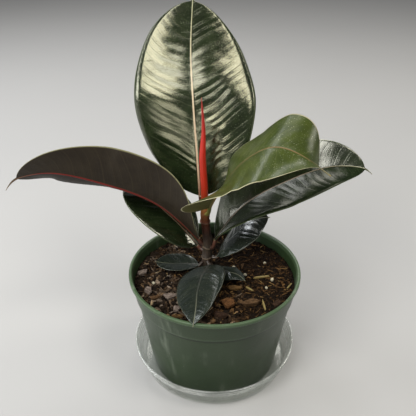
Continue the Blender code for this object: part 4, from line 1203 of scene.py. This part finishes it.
def chip(name, node, bit, material, slot, dice, corners, strata, ragged, roundness):
    """One loose bit: a broken many-cornered outline built up in strata, with a rough top."""
    x, y, length, width, height, heading = bit[:6]
    outline = chip_outline(dice, length, width, corners, ragged, roundness)
    slope = dice.uniform(-0.16, 0.16, 2) * (1.0 - roundness)
    rings = []
    for number in range(strata):
        bulge = 0.30 * roundness * (2 * (number + 0.5) / strata - 1) ** 2
        pull = 1.0 - ragged * dice.uniform(0.0, 0.55) - bulge
        shift = ragged * dice.uniform(-0.35, 0.35, 2)
        jag = 1.0 + 0.22 * ragged * dice.uniform(-1, 1, (len(outline), 1))
        for level in (number / strata, (number + 0.92) / strata):
            rise = np.full(len(outline), level * height)
            rings.append(np.column_stack([outline * pull * jag + shift, rise]))
    last = rings[-1][:, :2]
    for pull, rise in ((0.90, 0.99), (0.70, 1.02), (0.48, 1.03), (0.26, 1.02), (0.08, 1.02)):
        rough = 0.05 * dice.uniform(-1, 1, len(outline))
        rough = rough + 0.10 * ripples(last[:, 0] * pull / 2.0, last[:, 1] * pull / 2.0, 7)
        rings.append(np.column_stack([last * pull, height * (rise + (0.3 + 0.7 * ragged) * rough)]))
    points = np.concatenate(rings)
    points[:, 2] += (points[:, 0] * slope[0] + points[:, 1] * slope[1]) * points[:, 2] / height
    skin = np.stack([points[:, 0], points[:, 1] + points[:, 2] * 1.3], -1) / 10.0 + dice.uniform(0, 9, 2)
    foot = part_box(node)[0][2] / MM
    points = about_z(points, math.radians(heading)) + np.array([x, y, foot - 0.3])
    faces = tube_faces(len(rings), len(outline))
    piece = add_mesh(name, points, faces, [material], maps={"skin": skin}, smooth=False)
    stands_for(piece, node)


def build_bits():
    """Bark chips, wood fibres and perlite in place of the CAD blocks."""
    dice = np.random.RandomState(8)
    looks = {tone: bark_chip_material(tone) for tone in BARK_TONES}
    looks["fibre"] = fibre_material()
    looks["perlite"] = perlite_material()
    kinds = [
        ("bark", "bark_chip", BARK_CHIPS, 6, 3, 0.44, 0.0),
        ("fibre", "wood_fibre", WOOD_FIBRES, 8, 2, 0.20, 0.2),
        ("perlite", "perlite_grain", PERLITE_GRAINS, 7, 4, 0.16, 1.0),
    ]
    for slot, node, bits, *make in kinds:
        for number, bit in enumerate(bits, start=1):
            look = looks[bit[6] if slot == "bark" else slot]
            chip(f"{slot}_{number:02d}", f"{node}_{number:02d}", bit, look, slot, dice, *make)


build_mix_body()
build_crumbs()
build_bits()

# ---- floor -------------------------------------------------------------------------------------------
FLOOR_REACH = 12000.0
FLOOR_Z = -0.05
floor_look = Graph("floor_pale")
cloudy = floor_look.noise(floor_look.place(), 3.0, 3.0)
floor_colour = floor_look.mix(cloudy, (0.330, 0.328, 0.327), (0.355, 0.351, 0.347))
floor_material = floor_look.finish(Base_Color=floor_colour, Roughness=0.85)
corners = [(x * FLOOR_REACH, y * FLOOR_REACH, FLOOR_Z) for x, y in ((-1, -1), (1, -1), (1, 1), (-1, 1))]
floor = add_mesh("floor", corners, [(0, 1, 2, 3)], [floor_material])
